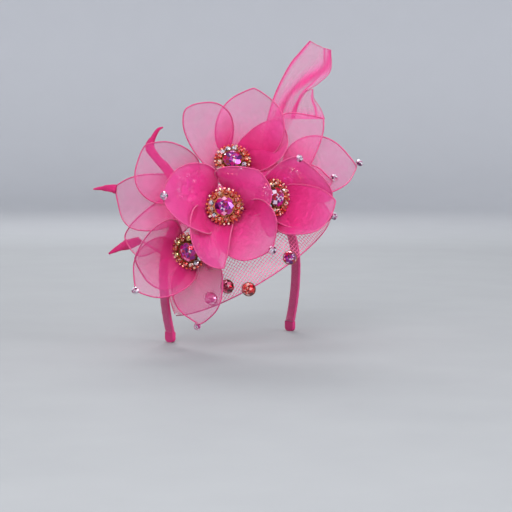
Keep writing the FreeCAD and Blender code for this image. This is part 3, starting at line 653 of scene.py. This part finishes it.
def bead(pile, centre, axes, radius, kind, chance, slot):
    """A small faceted bead, threaded along the first of its three axes."""
    along, up, facing = axes
    rings = []
    for place, reach in BEAD_PROFILE:
        middle, size = centre + along * (place * radius), reach * radius * BEAD_FULLNESS
        rings.append([pile.point(middle + (up * math.cos(angle) + facing * math.sin(angle)) * size)
                      for angle in angles_round(BEAD_SIDES)])
    faces = []
    for low, high in zip(rings, rings[1:]):
        for step in range(BEAD_SIDES):
            after = (step + 1) % BEAD_SIDES
            faces.append([low[step], low[after], high[after], high[step]])
    for corners in faces + [rings[0][::-1], rings[-1]]:
        pile.face(corners, tint=facet_hue_and_glint(chance, kind), slot=slot, smooth=False)


# ---- petals

PETAL_ROWS = 40
PETAL_COLUMNS = 25
# How much closer the rows stand towards the tip, and how far the cloth goes round its wire.
ROW_CLOSENESS, HEM_REACH = 1.6, 0.3
# Gathers at a petal's root: depth, radians of wave from the rib to an edge, and how fast they
# fade out to the tip.
GATHER_DEPTH, GATHER_WAVES, GATHER_FADE = 0.7, 13, 2.2
# Unevenness of the stretched cloth: depth, closeness of the swells, and each petal's own part.
RIPPLE_DEPTH, RIPPLE_CLOSENESS, RIPPLE_DRIFT = 1.6, 0.045, (7.3, 3.1, 5.7)
# Thickness of the binding round each petal's wire.
BINDING_THICKNESS = 0.1
WIRE_SIDES = 8
# Blooms and single petals of thinner cloth than the rest.
CLOTH_OF = {
    "rear": SHEER_CLOTH, "left": SHEER_CLOTH, "temple": MIDDLE_CLOTH,
    ("crown", 1): SHEER_CLOTH, ("crown", 2): SHEER_CLOTH,
}


def bloom_axes(bloom):
    """Centre, sideways, upward and facing directions of a bloom."""
    centre, heading, rise = BLOOMS[bloom]
    facing = unit_from_angles(heading, rise)
    sideways = UP.cross(facing).normalized()
    return Vector(centre), sideways, facing.cross(sideways), facing


def half_width_share(share, point):
    """Share of the full half-width at a share of the rib's length."""
    stretched = share ** (math.log(0.5) / math.log(WIDEST_AT))
    height = math.sin(math.acos(max(-1.0, min(1.0, 1 - 2 * stretched))))
    return height ** (point if stretched > 0.5 else 1.0)


def root_half_width(share):
    """What the broad root adds to each half-width, which is gone at the tip."""
    return PETAL_ROOT_HALF_WIDTH * (1 - share) ** 2


def petal_rows(bloom, petal, seed):
    """Points, flat coordinates and rib shares of a petal, root to tip, right edge to left edge."""
    turn, lift, curl, length, left, right, point, cup, twist, lean = petal
    centre, sideways, upward, facing = bloom_axes(bloom)
    radius = (left + right) / 2 / math.radians(cup)
    nib = max(0.0, min(LONGEST_NIB, NIB_PER_POINT * (POINTED - point)))
    shares = [1 - (1 - row / (PETAL_ROWS - 1)) ** ROW_CLOSENESS for row in range(PETAL_ROWS)]
    drift = Vector([seed * part for part in RIPPLE_DRIFT])

    def directions(share):
        about = math.radians(turn + lean * share)
        climb = math.radians(lift - curl * share)
        outward = sideways * math.cos(about) + upward * math.sin(about)
        along = outward * math.cos(climb) + facing * math.sin(climb)
        inner = facing * math.cos(climb) - outward * math.sin(climb)
        across = facing.cross(outward)
        roll = math.radians(twist) * share
        return (outward, along, across * math.cos(roll) + inner * math.sin(roll),
                inner * math.cos(roll) - across * math.sin(roll))

    place = centre + directions(0)[0] * PETAL_ROOT_REACH
    rows, flats, values = [], [], []
    for number, share in enumerate(shares):
        if number:
            before = shares[number - 1]
            place = place + directions((share + before) / 2)[1] * (length * (share - before))
        outward, along, across, inner = directions(share)
        rib = place + along * (nib * share ** NIB_CLOSENESS)
        widths = [root_half_width(share) + width * half_width_share(share, point) + HEM_REACH
                  for width in (right, left)]
        row, flat = [], []
        for column in range(PETAL_COLUMNS):
            offset = 2 * column / (PETAL_COLUMNS - 1) - 1
            arc = offset * widths[1 if offset > 0 else 0]
            spot = (rib + across * (radius * math.sin(arc / radius))
                    + inner * (radius * (1 - math.cos(arc / radius))))
            held = 1 - offset ** 4
            folds = math.cos(offset * GATHER_WAVES + seed) * (1 - share) ** GATHER_FADE * GATHER_DEPTH
            swell = noise.noise(spot * RIPPLE_CLOSENESS + drift)
            ripple = swell * RIPPLE_DEPTH * held * min(1.0, 3 * share)
            row.append(spot + inner * (folds * held + ripple * (1 - share * 0.5)))
            flat.append((arc * MM, share * length * MM))
        rows.append(row)
        flats.append(flat)
        values.append([share] * PETAL_COLUMNS)
    return rows, flats, values


def tip_of(rows):
    """The petal's tip, and the direction in which it points."""
    middle = PETAL_COLUMNS // 2
    return rows[-1][middle], (rows[-1][middle] - rows[-2][middle]).normalized()


def outline(rows):
    """Right root, round the tip, to left root."""
    tip, outward = tip_of(rows)
    wire_tip = tip + outward * PETAL_WIRE_RADIUS
    return [row[0] for row in rows[:-1]] + [wire_tip] + [row[-1] for row in rows[:-1]][::-1]


def add_petals():
    """A sheer petal and its bound wire edge, for every petal; returns the places of tip crystals."""
    tips = {}
    seed = 0
    for bloom, petals in PETALS.items():
        wires = Pile()
        for number, petal in enumerate(petals, start=1):
            seed += 1
            rows, flats, shares = petal_rows(bloom, petal, seed)
            sheet = Pile()
            sheet.grid(rows, flats, shares)
            name = f"cloth_{bloom}_{number}"
            cloth = CLOTH_OF.get((bloom, number), CLOTH_OF.get(bloom, RICH_CLOTH))
            piece = sheet.make(name, [cloth], [f"petal_{bloom}_{number}"])
            wires.tube(outline(rows), PETAL_WIRE_RADIUS + BINDING_THICKNESS, WIRE_SIDES)
            tip, outward = tip_of(rows)
            inward = outward.cross(rows[-2][-1] - rows[-2][0]).normalized()
            tips[bloom, number] = tip + outward * TIP_CRYSTAL_OUTWARD + inward * TIP_CRYSTAL_INWARD
        wires.make(f"edge_wires_{bloom}", [BOUND_EDGE], [f"petal_wires_{bloom}"])
    return tips


# ---- brooches

# The ring stones of each brooch in order round it. A short list repeats until the ring is full.
RING_KINDS = {
    "front": "amber red amber amber gold amber clear gold clear amber red amber red",
    "crown": "amber amber red clear clear clear amber gold amber red amber clear clear",
    "brow": "amber gold red amber gold clear clear clear clear gold red amber gold",
    "temple": "amber olive amber olive amber olive amber olive amber red gold clear clear",
    "rear": "rose clear rose",
    "left": "amber clear gold",
}
RING_STONE_SIDES = 6
BEADS_PER_GOLD_ONE = 5
CLAWS = 8
# A claw's path up the bezel and over the stone, as reach in from the bezel's middle and height.
CLAW_PATH = [
    (0.0, 0.4 * BEZEL_HEIGHT), (0.0, BEZEL_HEIGHT), (0.4, BEZEL_HEIGHT + 0.5), (1.3, BEZEL_HEIGHT + 0.9),
]
CLAW_RADII = [0.5] * 6 + [0.46, 0.4, 0.25]
# Heights of a tip crystal above and below its girdle, as shares of its radius.
TIP_CRYSTAL_CROWN, TIP_CRYSTAL_PAVILION, TIP_CRYSTAL_SIDES = 0.7, 0.8, 7
LOOSE_CRYSTAL_SEED = 5


def add_brooch(bloom, seed):
    """Cut centre stone, ring stones, seed beads and claws on the brooch's metal setting."""
    chance = random.Random(seed)
    centre, side, up, facing = bloom_axes(bloom)
    top = centre + facing * (BROOCH_LIFT + PLATE_THICKNESS)

    def around(angle, reach, height):
        outward = side * math.cos(angle) + up * math.sin(angle)
        return top + outward * reach + facing * height, outward

    stone = Pile()
    girdle = top + facing * BEZEL_HEIGHT
    cut_stone(stone, (girdle, side, up, facing), CENTRE_STONE_RADIUS, CENTRE_STONE_HEIGHT - BEZEL_HEIGHT,
              BEZEL_HEIGHT, "violet", chance)
    stone.make(f"cut_stone_{bloom}", [CRYSTAL], [f"centre_stone_{bloom}"])

    ring = Pile()
    kinds = RING_KINDS[bloom].split()
    for number, angle in enumerate(angles_round(RING_STONES)):
        place, outward = around(angle, RING_CIRCLE, RING_CUP_HEIGHT)
        cut_stone(ring, (place, outward, facing.cross(outward), facing), RING_STONE_RADIUS,
                  RING_STONE_HEIGHT - RING_CUP_HEIGHT, RING_CUP_HEIGHT, kinds[number % len(kinds)],
                  chance, RING_STONE_SIDES)
    for number, angle in enumerate(angles_round(SEED_BEADS, 0.5)):
        place, outward = around(angle, SEED_CIRCLE, -PLATE_THICKNESS / 2)
        bead(ring, place, (facing.cross(outward), outward, facing), SEED_BEAD_RADIUS,
             "amber" if number % BEADS_PER_GOLD_ONE else "gold", chance, slot=1)
    ring.make(f"ring_and_beads_{bloom}", [CRYSTAL, BEAD], [f"ring_stones_{bloom}"])

    claws = Pile()
    reach = CENTRE_STONE_RADIUS + BEZEL_WALL / 2
    for angle in angles_round(CLAWS, 0.5):
        path = [around(angle, reach - inward, height)[0] for inward, height in CLAW_PATH]
        claws.tube(smooth_path(path, len(CLAW_RADII)), CLAW_RADII, WIRE_SIDES)
    claws.make(f"claws_{bloom}", [GILT])


def add_loose_crystals(tips):
    """Stones on the net, and crystals at the tips of some petals."""
    chance = random.Random(LOOSE_CRYSTAL_SEED)
    stones = Pile()
    for heading, rise, kind in NET_CRYSTALS:
        unit = unit_from_angles(heading, rise)
        outward = over(unit, grown_axes(NET_THICKNESS)).normalized()
        place = on_head(unit, NET_THICKNESS) + outward * (RING_CUP_WALL + RING_CUP_HEIGHT)
        side = UP.cross(outward).normalized()
        cut_stone(stones, (place, side, outward.cross(side), outward), NET_CRYSTAL_RADIUS,
                  NET_CRYSTAL_HEIGHT - RING_CUP_HEIGHT, RING_CUP_HEIGHT, kind, chance)
    stones.make("net_cut_stones", [CRYSTAL], ["net_crystals"])

    ends = Pile()
    for bloom, number in TIP_CRYSTALS:
        side, up, facing = bloom_axes(bloom)[1:]
        cut_stone(ends, (tips[bloom, number], side, up, facing), TIP_CRYSTAL_RADIUS,
                  TIP_CRYSTAL_RADIUS * TIP_CRYSTAL_CROWN, TIP_CRYSTAL_RADIUS * TIP_CRYSTAL_PAVILION,
                  "blushed", chance, TIP_CRYSTAL_SIDES)
    ends.make("tip_cut_stones", [CRYSTAL], ["tip_crystals"])


# ---- net base

NET_PITCH = 2.4
NET_THREAD_RADIUS, NET_THREAD_SIDES = 0.24, 4
# How far a thread swings to each side between its knots.
NET_THREAD_SWING = 0.16
# Heading and rise of the net's middle on the ellipsoid, and how far the threads run from it.
NET_MIDDLE, NET_REACH = (-112, 48), 130.0
EDGE_STEPS = 360
# Radius of the rim's binding as a share of the CAD wire's, and the hems' tubes.
RIM_BINDING_SHARE = 0.75
HEM_TUBE_RADIUS, HEM_TUBE_SIDES, HEM_INSET = 0.45, 6, 0.01


def inside_net(place):
    """How far a place on the ellipsoid is inside the net's three edges."""
    above_rim = place.dot(unit_from_angles(RIM_HEADING, RIM_RISE)) - RIM_OFFSET
    return min(above_rim, -BAND_WIDTH / 2 - place.y, NET_LEFT_EDGE - place.x)


def net_point(first, second):
    """The point of the net at two distances, in millimetres, from its middle."""
    middle = unit_from_angles(*NET_MIDDLE)
    east = UP.cross(middle).normalized()
    north = middle.cross(east)
    reach = math.hypot(first, second)
    if reach == 0:
        return on_head(middle, NET_THICKNESS / 2)
    toward = (east * first + north * second) / reach
    angle = reach / HEAD_AXES.x
    return on_head(middle * math.cos(angle) + toward * math.sin(angle), NET_THICKNESS / 2)


def add_net():
    """Knotted net: two families of threads that swing from knot to knot."""
    net = Pile()
    lines = int(NET_REACH / NET_PITCH)
    for family in (-1, 1):
        for line in range(-lines, lines + 1):
            run = []
            before = None
            for step in range(-2 * lines, 2 * lines + 1):
                along = step * NET_PITCH / 2
                aside = line * NET_PITCH + math.sin(step * math.pi / 2 + family) * NET_THREAD_SWING
                place = net_point((along - family * aside) / math.sqrt(2),
                                  (family * along + aside) / math.sqrt(2))
                depth = inside_net(place)
                if before and (depth > 0) != (before[1] > 0):
                    run.append(before[0].lerp(place, before[1] / (before[1] - depth)))
                    if depth <= 0:
                        if len(run) > 1:
                            net.tube(run, NET_THREAD_RADIUS, NET_THREAD_SIDES)
                        run = []
                if depth > 0:
                    run.append(place)
                before = (place, depth)
    net.make("net_mesh", [NET], ["base_net_cap"])


def rim_path():
    """The net's rim, where the rim plane cuts the ellipsoid."""
    up_from_rim = unit_from_angles(RIM_HEADING, RIM_RISE)
    axes = grown_axes(NET_THICKNESS / 2)
    scaled = times(up_from_rim, axes)
    height = (RIM_OFFSET - RIM_WIRE_RADIUS - up_from_rim.dot(HEAD_CENTRE)) / scaled.length
    pole = scaled.normalized()
    side = pole.cross(UP).normalized()
    other = pole.cross(side)
    circle = math.sqrt(1 - height * height)
    points = []
    for angle in angles_round(EDGE_STEPS):
        unit = pole * height + (side * math.cos(angle) + other * math.sin(angle)) * circle
        points.append(HEAD_CENTRE + times(unit, axes))
    band_front = -BAND_WIDTH / 2 - RIM_WIRE_RADIUS
    return kept_stretch(points, [place.x < NET_LEFT_EDGE and place.y < band_front for place in points])


def section_path(axis, level):
    """The ellipsoid's outline in a plane across one axis, as far as it edges the net."""
    axes = grown_axes(NET_THICKNESS / 2)
    first, second = (number for number in range(3) if number != axis)
    share = (level - HEAD_CENTRE[axis]) / axes[axis]
    circle = math.sqrt(1 - share * share)
    points = []
    for angle in angles_round(EDGE_STEPS):
        place = Vector((0, 0, 0))
        place[axis] = level
        place[first] = HEAD_CENTRE[first] + axes[first] * circle * math.cos(angle)
        place[second] = HEAD_CENTRE[second] + axes[second] * circle * math.sin(angle)
        points.append(place)
    return kept_stretch(points, [inside_net(place) > -HEM_INSET for place in points])


def add_net_edges():
    """The bound wire at the net's rim, and the hems at its left edge and along the headband."""
    rim = Pile()
    rim.tube(rim_path(), RIM_WIRE_RADIUS * RIM_BINDING_SHARE, WIRE_SIDES)
    rim.make("rim_binding", [BOUND_EDGE], ["base_rim_wire"])
    hem = Pile()
    for axis, level in ((0, NET_LEFT_EDGE), (1, -BAND_WIDTH / 2)):
        hem.tube(section_path(axis, level - HEM_INSET), HEM_TUBE_RADIUS, HEM_TUBE_SIDES)
    hem.make("net_hem", [NET])


# ---- headband

# Ribbon wound round the band: its pitch, how far a lap stands up, and its slant in turns.
WRAP_PITCH, WRAP_RISE, WRAP_SLANT = 7.0, 0.28, 0.28
# Powers that square up the sleeve's round section, across the band and through its thickness.
SQUARE_ACROSS, SQUARE_THROUGH = 0.35, 0.7
BAND_STEPS = 460
BAND_AROUND = 36


def band_path():
    """Centre line of the satin sleeve, from the wearer's right end to the left end, with the
    outward direction at each point."""
    middle = BAND_RADIUS + BAND_THICKNESS / 2
    arm_centre = BAND_ARM_RADIUS - BAND_RADIUS
    arm = arm_centre + middle
    arm_length, crown_length = arm * math.asin(BAND_ARM_DROP / arm), math.pi * middle
    total = 2 * arm_length + crown_length
    path = []
    for step in range(BAND_STEPS + 1):
        along = total * step / BAND_STEPS
        past_crown = along - arm_length - crown_length
        if along < arm_length or past_crown > 0:
            side, beyond = (-1, arm_length - along) if along < arm_length else (1, past_crown)
            outward = Vector((side * math.cos(beyond / arm), 0, -math.sin(beyond / arm)))
            place = Vector((-side * arm_centre, 0, 0)) + outward * arm
        else:
            angle = math.pi - (along - arm_length) / middle
            outward = Vector((math.cos(angle), 0, math.sin(angle)))
            place = outward * middle
        path.append((place, outward, along))
    return path


def squared(value, power):
    """A sine or cosine drawn out towards 1 or -1."""
    return math.copysign(abs(value) ** power, value)


def add_headband():
    """Satin ribbon wound round the band, each turn lapping over the one before."""
    sleeve = Pile()
    forward = Vector((0, -1, 0))
    half_width, half_thick = BAND_WIDTH / 2, BAND_THICKNESS / 2
    path = band_path()
    rings = []
    for place, outward, along in path:
        ring = []
        for angle in angles_round(BAND_AROUND):
            across = squared(math.cos(angle), SQUARE_ACROSS)
            rise = squared(math.sin(angle), SQUARE_THROUGH)
            turn = (along / WRAP_PITCH + across * WRAP_SLANT * math.copysign(1, rise)) % 1.0
            lap = WRAP_RISE * (0.5 - turn) if rise > 0 else 0.0
            ring.append(sleeve.point(place + forward * (half_width * across)
                                     + outward * (half_thick * rise + lap)))
        rings.append(ring)
    girth = 2 * (BAND_WIDTH + BAND_THICKNESS) * MM
    sleeve.wall(rings, lambda r, c: (path[r][2] * MM, girth * c / BAND_AROUND))
    sleeve.face(rings[0])
    sleeve.face(rings[-1][::-1])
    sleeve.make("headband_ribbon", [SATIN], ["headband_cover"])


# ---- plume and rolled points

LEAF_ROWS = 60
LEAF_COLUMNS = 33
ROLL_SIDES, ROLL_STEPS = 28, 50
# The roll's section: three broad lobes and seven small ones with their turn from root to tip, and
# the lap of the rolled edge, all as shares of the roll's radius.
ROLL_CORE, ROLL_LAP, LAP_TURN, THINNEST_ROLL = 0.82, 0.22, 1.3, 0.35
BROAD_LOBES, BROAD_TURN, BROAD_DEPTH = 3, 7, 0.128
SMALL_LOBES, SMALL_TURN, SMALL_DEPTH = 7, -9, 0.056
# Where the rolls' cloth stands on the way from its thickest to its thinnest.
ROLL_SHARE = 0.4
LEAF_HEM_RADIUS, LEAF_HEM_SIDES = 0.3, 6
PLUME_WIRE_STEPS, PLUME_WIRE_SHARE = 90, 0.8
# Folds doubled along each leaf: place across it at the foot and at the top, and width, as shares.
BLADE_SEAMS = [(0.30, 1.0, 0.22), (1.0, 0.70, 0.05), (0.0, 0.02, 0.05)]
FLARE_SEAMS = [(0.05, 0.1, 0.08), (0.75, 0.9, 0.06)]
TAIL_SEAMS = [(0.5, 0.30, 0.35)]
# How full the gathers at a leaf's foot are, and how fast they open out.
FOOT_GATHER, FOOT_FADE = 0.75, 2.6
# Turn of the folds from a leaf's foot to its top in radians, and how much shallower they end.
FOLD_TURN, FOLD_FADE = 2.2, 0.7
# Fine creases between the folds: how many to a fold, their turn, and their share of its depth.
CREASES_PER_FOLD, CREASE_TURN, CREASE_DEPTH = 2.7, -3.0, 0.35


def density(u, share, seams):
    """Share of the way to thinnest cloth: low where the leaf is folded double along a seam."""
    thick = FOOT_GATHER * max(0.0, 1.0 - FOOT_FADE * share)
    for low, high, width in seams:
        apart = u - (low + (high - low) * share)
        thick = max(thick, math.exp(-(apart / width) ** 2))
    return 1.0 - thick


def leaf_rows(rungs, sag, folds, depth, seams, seed):
    """A sheer leaf across smoothed rungs, with folds that run along it."""
    lefts = smooth_path([Vector(left) for left, right in rungs], LEAF_ROWS)
    rights = smooth_path([Vector(right) for left, right in rungs], LEAF_ROWS)
    rows, flats, values = [], [], []
    length = 0.0
    for number, (left, right) in enumerate(zip(lefts, rights)):
        after, before = min(number + 1, LEAF_ROWS - 1), max(number - 1, 0)
        along = (lefts[after] + rights[after] - lefts[before] - rights[before]).normalized()
        if number:
            length += ((lefts[number] + rights[number] - lefts[number - 1] - rights[number - 1]) / 2).length
        across = right - left
        bowed = along.cross(across).normalized()
        share = number / (LEAF_ROWS - 1)
        row, flat, thin = [], [], []
        for column in range(LEAF_COLUMNS):
            u = column / (LEAF_COLUMNS - 1)
            swell = 4 * u * (1 - u)
            fold = math.sin(2 * math.pi * folds * u + FOLD_TURN * share + seed)
            crease = math.sin(2 * math.pi * folds * CREASES_PER_FOLD * u + CREASE_TURN * share + seed)
            fade = (1 - share * FOLD_FADE) * swell ** 0.5
            lift = sag * swell + (fold + crease * CREASE_DEPTH) * depth * fade
            row.append(left + across * u + bowed * lift)
            flat.append((across.length * u * MM, length * MM))
            thin.append(density(u, share, seams))
        rows.append(row)
        flats.append(flat)
        values.append(thin)
    return rows, flats, values


def join_rows(rows, onto):
    """Bring the last row onto another piece's row, and the rows before it part of the way."""
    offsets = [there - here for here, there in zip(rows[-1], onto)]
    for number, row in enumerate(rows):
        pull = (number / (len(rows) - 1)) ** 2
        row[:] = [place + offset * pull for place, offset in zip(row, offsets)]


def add_plume():
    """The plume's blade and frill, the tail that joins the blade to the net, and their wires."""
    # Each leaf's rungs, sag, folds across it, fold depth, doubled seams and CAD nodes.
    leaves = {
        "plume_leaf": (PLUME_BLADE, 3.0, 3.0, 1.6, BLADE_SEAMS, ["plume_blade"]),
        "plume_frill": (PLUME_FLARE, -2.0, 2.5, 1.4, FLARE_SEAMS, ["plume_flare"]),
        "plume_tail": (PLUME_TAIL, 1.5, 3.0, 1.2, TAIL_SEAMS, []),
    }
    wire = Pile()
    blade_foot = None
    for seed, (name, (rungs, sag, folds, depth, seams, nodes)) in enumerate(leaves.items()):
        rows, flats, shares = leaf_rows(rungs, sag, folds, depth, seams, seed)
        blade_foot = blade_foot or rows[0]
        if nodes:
            wire.tube(rows[-1], LEAF_HEM_RADIUS, LEAF_HEM_SIDES)
            wire.tube([row[-1] for row in rows], LEAF_HEM_RADIUS, LEAF_HEM_SIDES)
        else:
            join_rows(rows, blade_foot)
        leaf = Pile()
        leaf.grid(rows, flats, shares)
        piece = leaf.make(name, [PLUME_CLOTH], nodes)
    edge = [Vector(left) for left, right in PLUME_BLADE]
    low = edge[0] + PLUME_WIRE_TURN
    arm = low - HEAD_CENTRE
    foot = HEAD_CENTRE + arm / over(arm, grown_axes(NET_THICKNESS)).length
    path = smooth_path([foot, low] + edge, PLUME_WIRE_STEPS)
    wire.tube(path, PLUME_WIRE_RADIUS * PLUME_WIRE_SHARE, WIRE_SIDES)
    wire.make("plume_edge", [BOUND_EDGE], ["plume_wire"])


def add_rolled_points():
    """Tapering rolls of cloth, twisted so that the laps of the roll show."""
    rolls = Pile()
    for number, stations in enumerate(ROLLED_POINTS.values()):
        path = smooth_path([Vector(place) for place, radius in stations], ROLL_STEPS)
        sizes = smooth_path([radius for place, radius in stations], ROLL_STEPS)

        def section(step, around, start=number):
            angle, share = 2 * math.pi * around / ROLL_SIDES, step / ROLL_STEPS
            size = (ROLL_CORE + BROAD_DEPTH * math.sin(BROAD_LOBES * angle + BROAD_TURN * share + start)
                    + SMALL_DEPTH * math.sin(SMALL_LOBES * angle + SMALL_TURN * share)
                    + ROLL_LAP * ((around / ROLL_SIDES + share * LAP_TURN) % 1.0))
            return size * math.cos(angle), size * math.sin(angle)

        rolls.tube(path, [max(THINNEST_ROLL, size) for size in sizes], ROLL_SIDES, section, ROLL_SHARE)
    rolls.make("rolled_cloth_points", [ROLL_CLOTH], ["rolled_points"])


# ---- carried CAD pieces

CARRIED = {
    "headband_strip": STEEL,
    "headband_end_tips": TIP_PLASTIC,
    "petal_discs": FELT,
    "bloom_stems": WRAPPED_STEM,
    "net_crystal_cups": GILT,
    **{f"brooch_setting_{bloom}": GILT for bloom in BLOOMS},
}


def finish_carried():
    """Give the CAD pieces that stay in sight, or inside, a material each."""
    for name, material in CARRIED.items():
        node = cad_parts[name]
        for slot in node.material_slots:
            slot.link = "OBJECT"
            slot.material = material


# ---- stage, light and camera

# The floor's flat part, its wall and the wall's top, in metres from the middle and the floor.
STAGE_FLAT, STAGE_WALL, STAGE_TOP = 2.6, 3.4, 3.0
STAGE_INNER_RING = 1.0
STAGE_BEND_STEPS, STAGE_AROUND = 12, 96
# The paper is darker near the headpiece, to even out the light on floor and wall.
PAPER_NEAR, PAPER_FAR = 1.2, 3.3
NEAR_GREY, FAR_GREY = (0.27, 0.28, 0.295), (0.63, 0.645, 0.685)


def studio_paper():
    """Pale grey paper with a faint grain."""
    paint = Paint("studio_paper")
    grain = paint.cloud(14.0, 5.0)
    apart = paint.put("ShaderNodeVectorMath", {"operation": "LENGTH"}, _0=paint.place()).outputs["Value"]
    colour = paint.ramp(paint.maths("DIVIDE", apart, STAGE_WALL), (PAPER_NEAR / STAGE_WALL, NEAR_GREY),
                        (PAPER_FAR / STAGE_WALL, FAR_GREY))
    colour = paint.blend(paint.span(grain, 0.0, 0.06), colour, WHITE)
    return paint.surface(colour, (grain, 0.8, 0.9))


def add_stage():
    """A round floor that curves up into a wall well behind the camera."""
    floor_height = CAD_BOX[0][2]
    bend = STAGE_WALL - STAGE_FLAT
    profile = [(0.0, 0.0), (STAGE_INNER_RING, 0.0), (STAGE_FLAT, 0.0)]
    for step in range(1, STAGE_BEND_STEPS + 1):
        angle = math.pi / 2 * step / STAGE_BEND_STEPS
        profile.append((STAGE_FLAT + bend * math.sin(angle), bend * (1 - math.cos(angle))))
    profile.append((STAGE_WALL, STAGE_TOP))
    points = [(reach * math.cos(angle), reach * math.sin(angle), floor_height + height)
              for reach, height in profile for angle in angles_round(STAGE_AROUND)]
    faces = []
    for start in range(0, STAGE_AROUND * (len(profile) - 1), STAGE_AROUND):
        for step in range(STAGE_AROUND):
            after = (step + 1) % STAGE_AROUND
            faces.append([start + step, start + after, start + STAGE_AROUND + after,
                          start + STAGE_AROUND + step])
    mesh = bpy.data.meshes.new("studio_floor")
    mesh.from_pydata(points, [], faces)
    mesh.polygons.foreach_set("use_smooth", [True] * len(faces))
    mesh.materials.append(studio_paper())
    floor = bpy.data.objects.new("studio_floor", mesh)
    bpy.context.scene.collection.objects.link(floor)


# Soft round lights: place and width in metres, and power in watts. All point at LIGHT_TARGET.
LIGHTS = {
    "key": ((-1.5, -1.3, 1.2), 1.1, 36),
    "fill": ((0.5, -2.0, 0.6), 1.3, 24),
    "back": ((0.9, 1.4, 1.4), 1.0, 22),
    "crown": ((-0.2, 0.1, 2.0), 1.4, 8),
}
LIGHT_TARGET = Vector((-0.03, -0.05, 0.07))
ROOM_LIGHT, ROOM_STRENGTH = (0.95, 0.965, 1.0, 1.0), 0.75


def add_lights():
    """The lights of LIGHTS, and an even light from the room all round."""
    for name, (place, width, power) in LIGHTS.items():
        lamp = bpy.data.lights.new(name, "AREA")
        lamp.shape = "DISK"
        lamp.size = width
        lamp.energy = power
        light = bpy.data.objects.new(name, lamp)
        light.location = place
        light.rotation_euler = (LIGHT_TARGET - light.location).to_track_quat("-Z", "Y").to_euler()
        bpy.context.scene.collection.objects.link(light)
    world = bpy.data.worlds.new("studio")
    world.use_nodes = True
    shade = world.node_tree.nodes["Background"]
    shade.inputs["Color"].default_value = ROOM_LIGHT
    shade.inputs["Strength"].default_value = ROOM_STRENGTH
    bpy.context.scene.world = world


CAMERA_AZIMUTH, CAMERA_RISE = -40, 4
CAMERA_DISTANCE = 1.6
CAMERA_LENS = 127.1
# Millimetres from the band's centre to the point that the camera looks at, in its own picture.
AIM_RIGHT, AIM_UP = 21.5, 12.4


def add_camera():
    """The camera, in front of the wearer's right brow."""
    azimuth, rise = math.radians(CAMERA_AZIMUTH), math.radians(CAMERA_RISE)
    back = Vector((math.sin(azimuth) * math.cos(rise), -math.cos(azimuth) * math.cos(rise), math.sin(rise)))
    right = Vector((math.cos(azimuth), math.sin(azimuth), 0))
    aim = (right * AIM_RIGHT + back.cross(right) * AIM_UP) * MM
    lens = bpy.data.cameras.new("photo_view")
    lens.lens = CAMERA_LENS
    camera = bpy.data.objects.new("photo_view", lens)
    camera.location = aim + back * CAMERA_DISTANCE
    camera.rotation_euler = (-back).to_track_quat("-Z", "Y").to_euler()
    bpy.context.scene.collection.objects.link(camera)
    bpy.context.scene.camera = camera


# ---- the whole piece

petal_tips = add_petals()
for order, bloom_name in enumerate(BLOOMS):
    add_brooch(bloom_name, order)
add_loose_crystals(petal_tips)
add_net()
add_net_edges()
add_headband()
add_plume()
add_rolled_points()
finish_carried()
add_stage()
add_lights()
add_camera()
bpy.context.scene.view_settings.view_transform = "Standard"
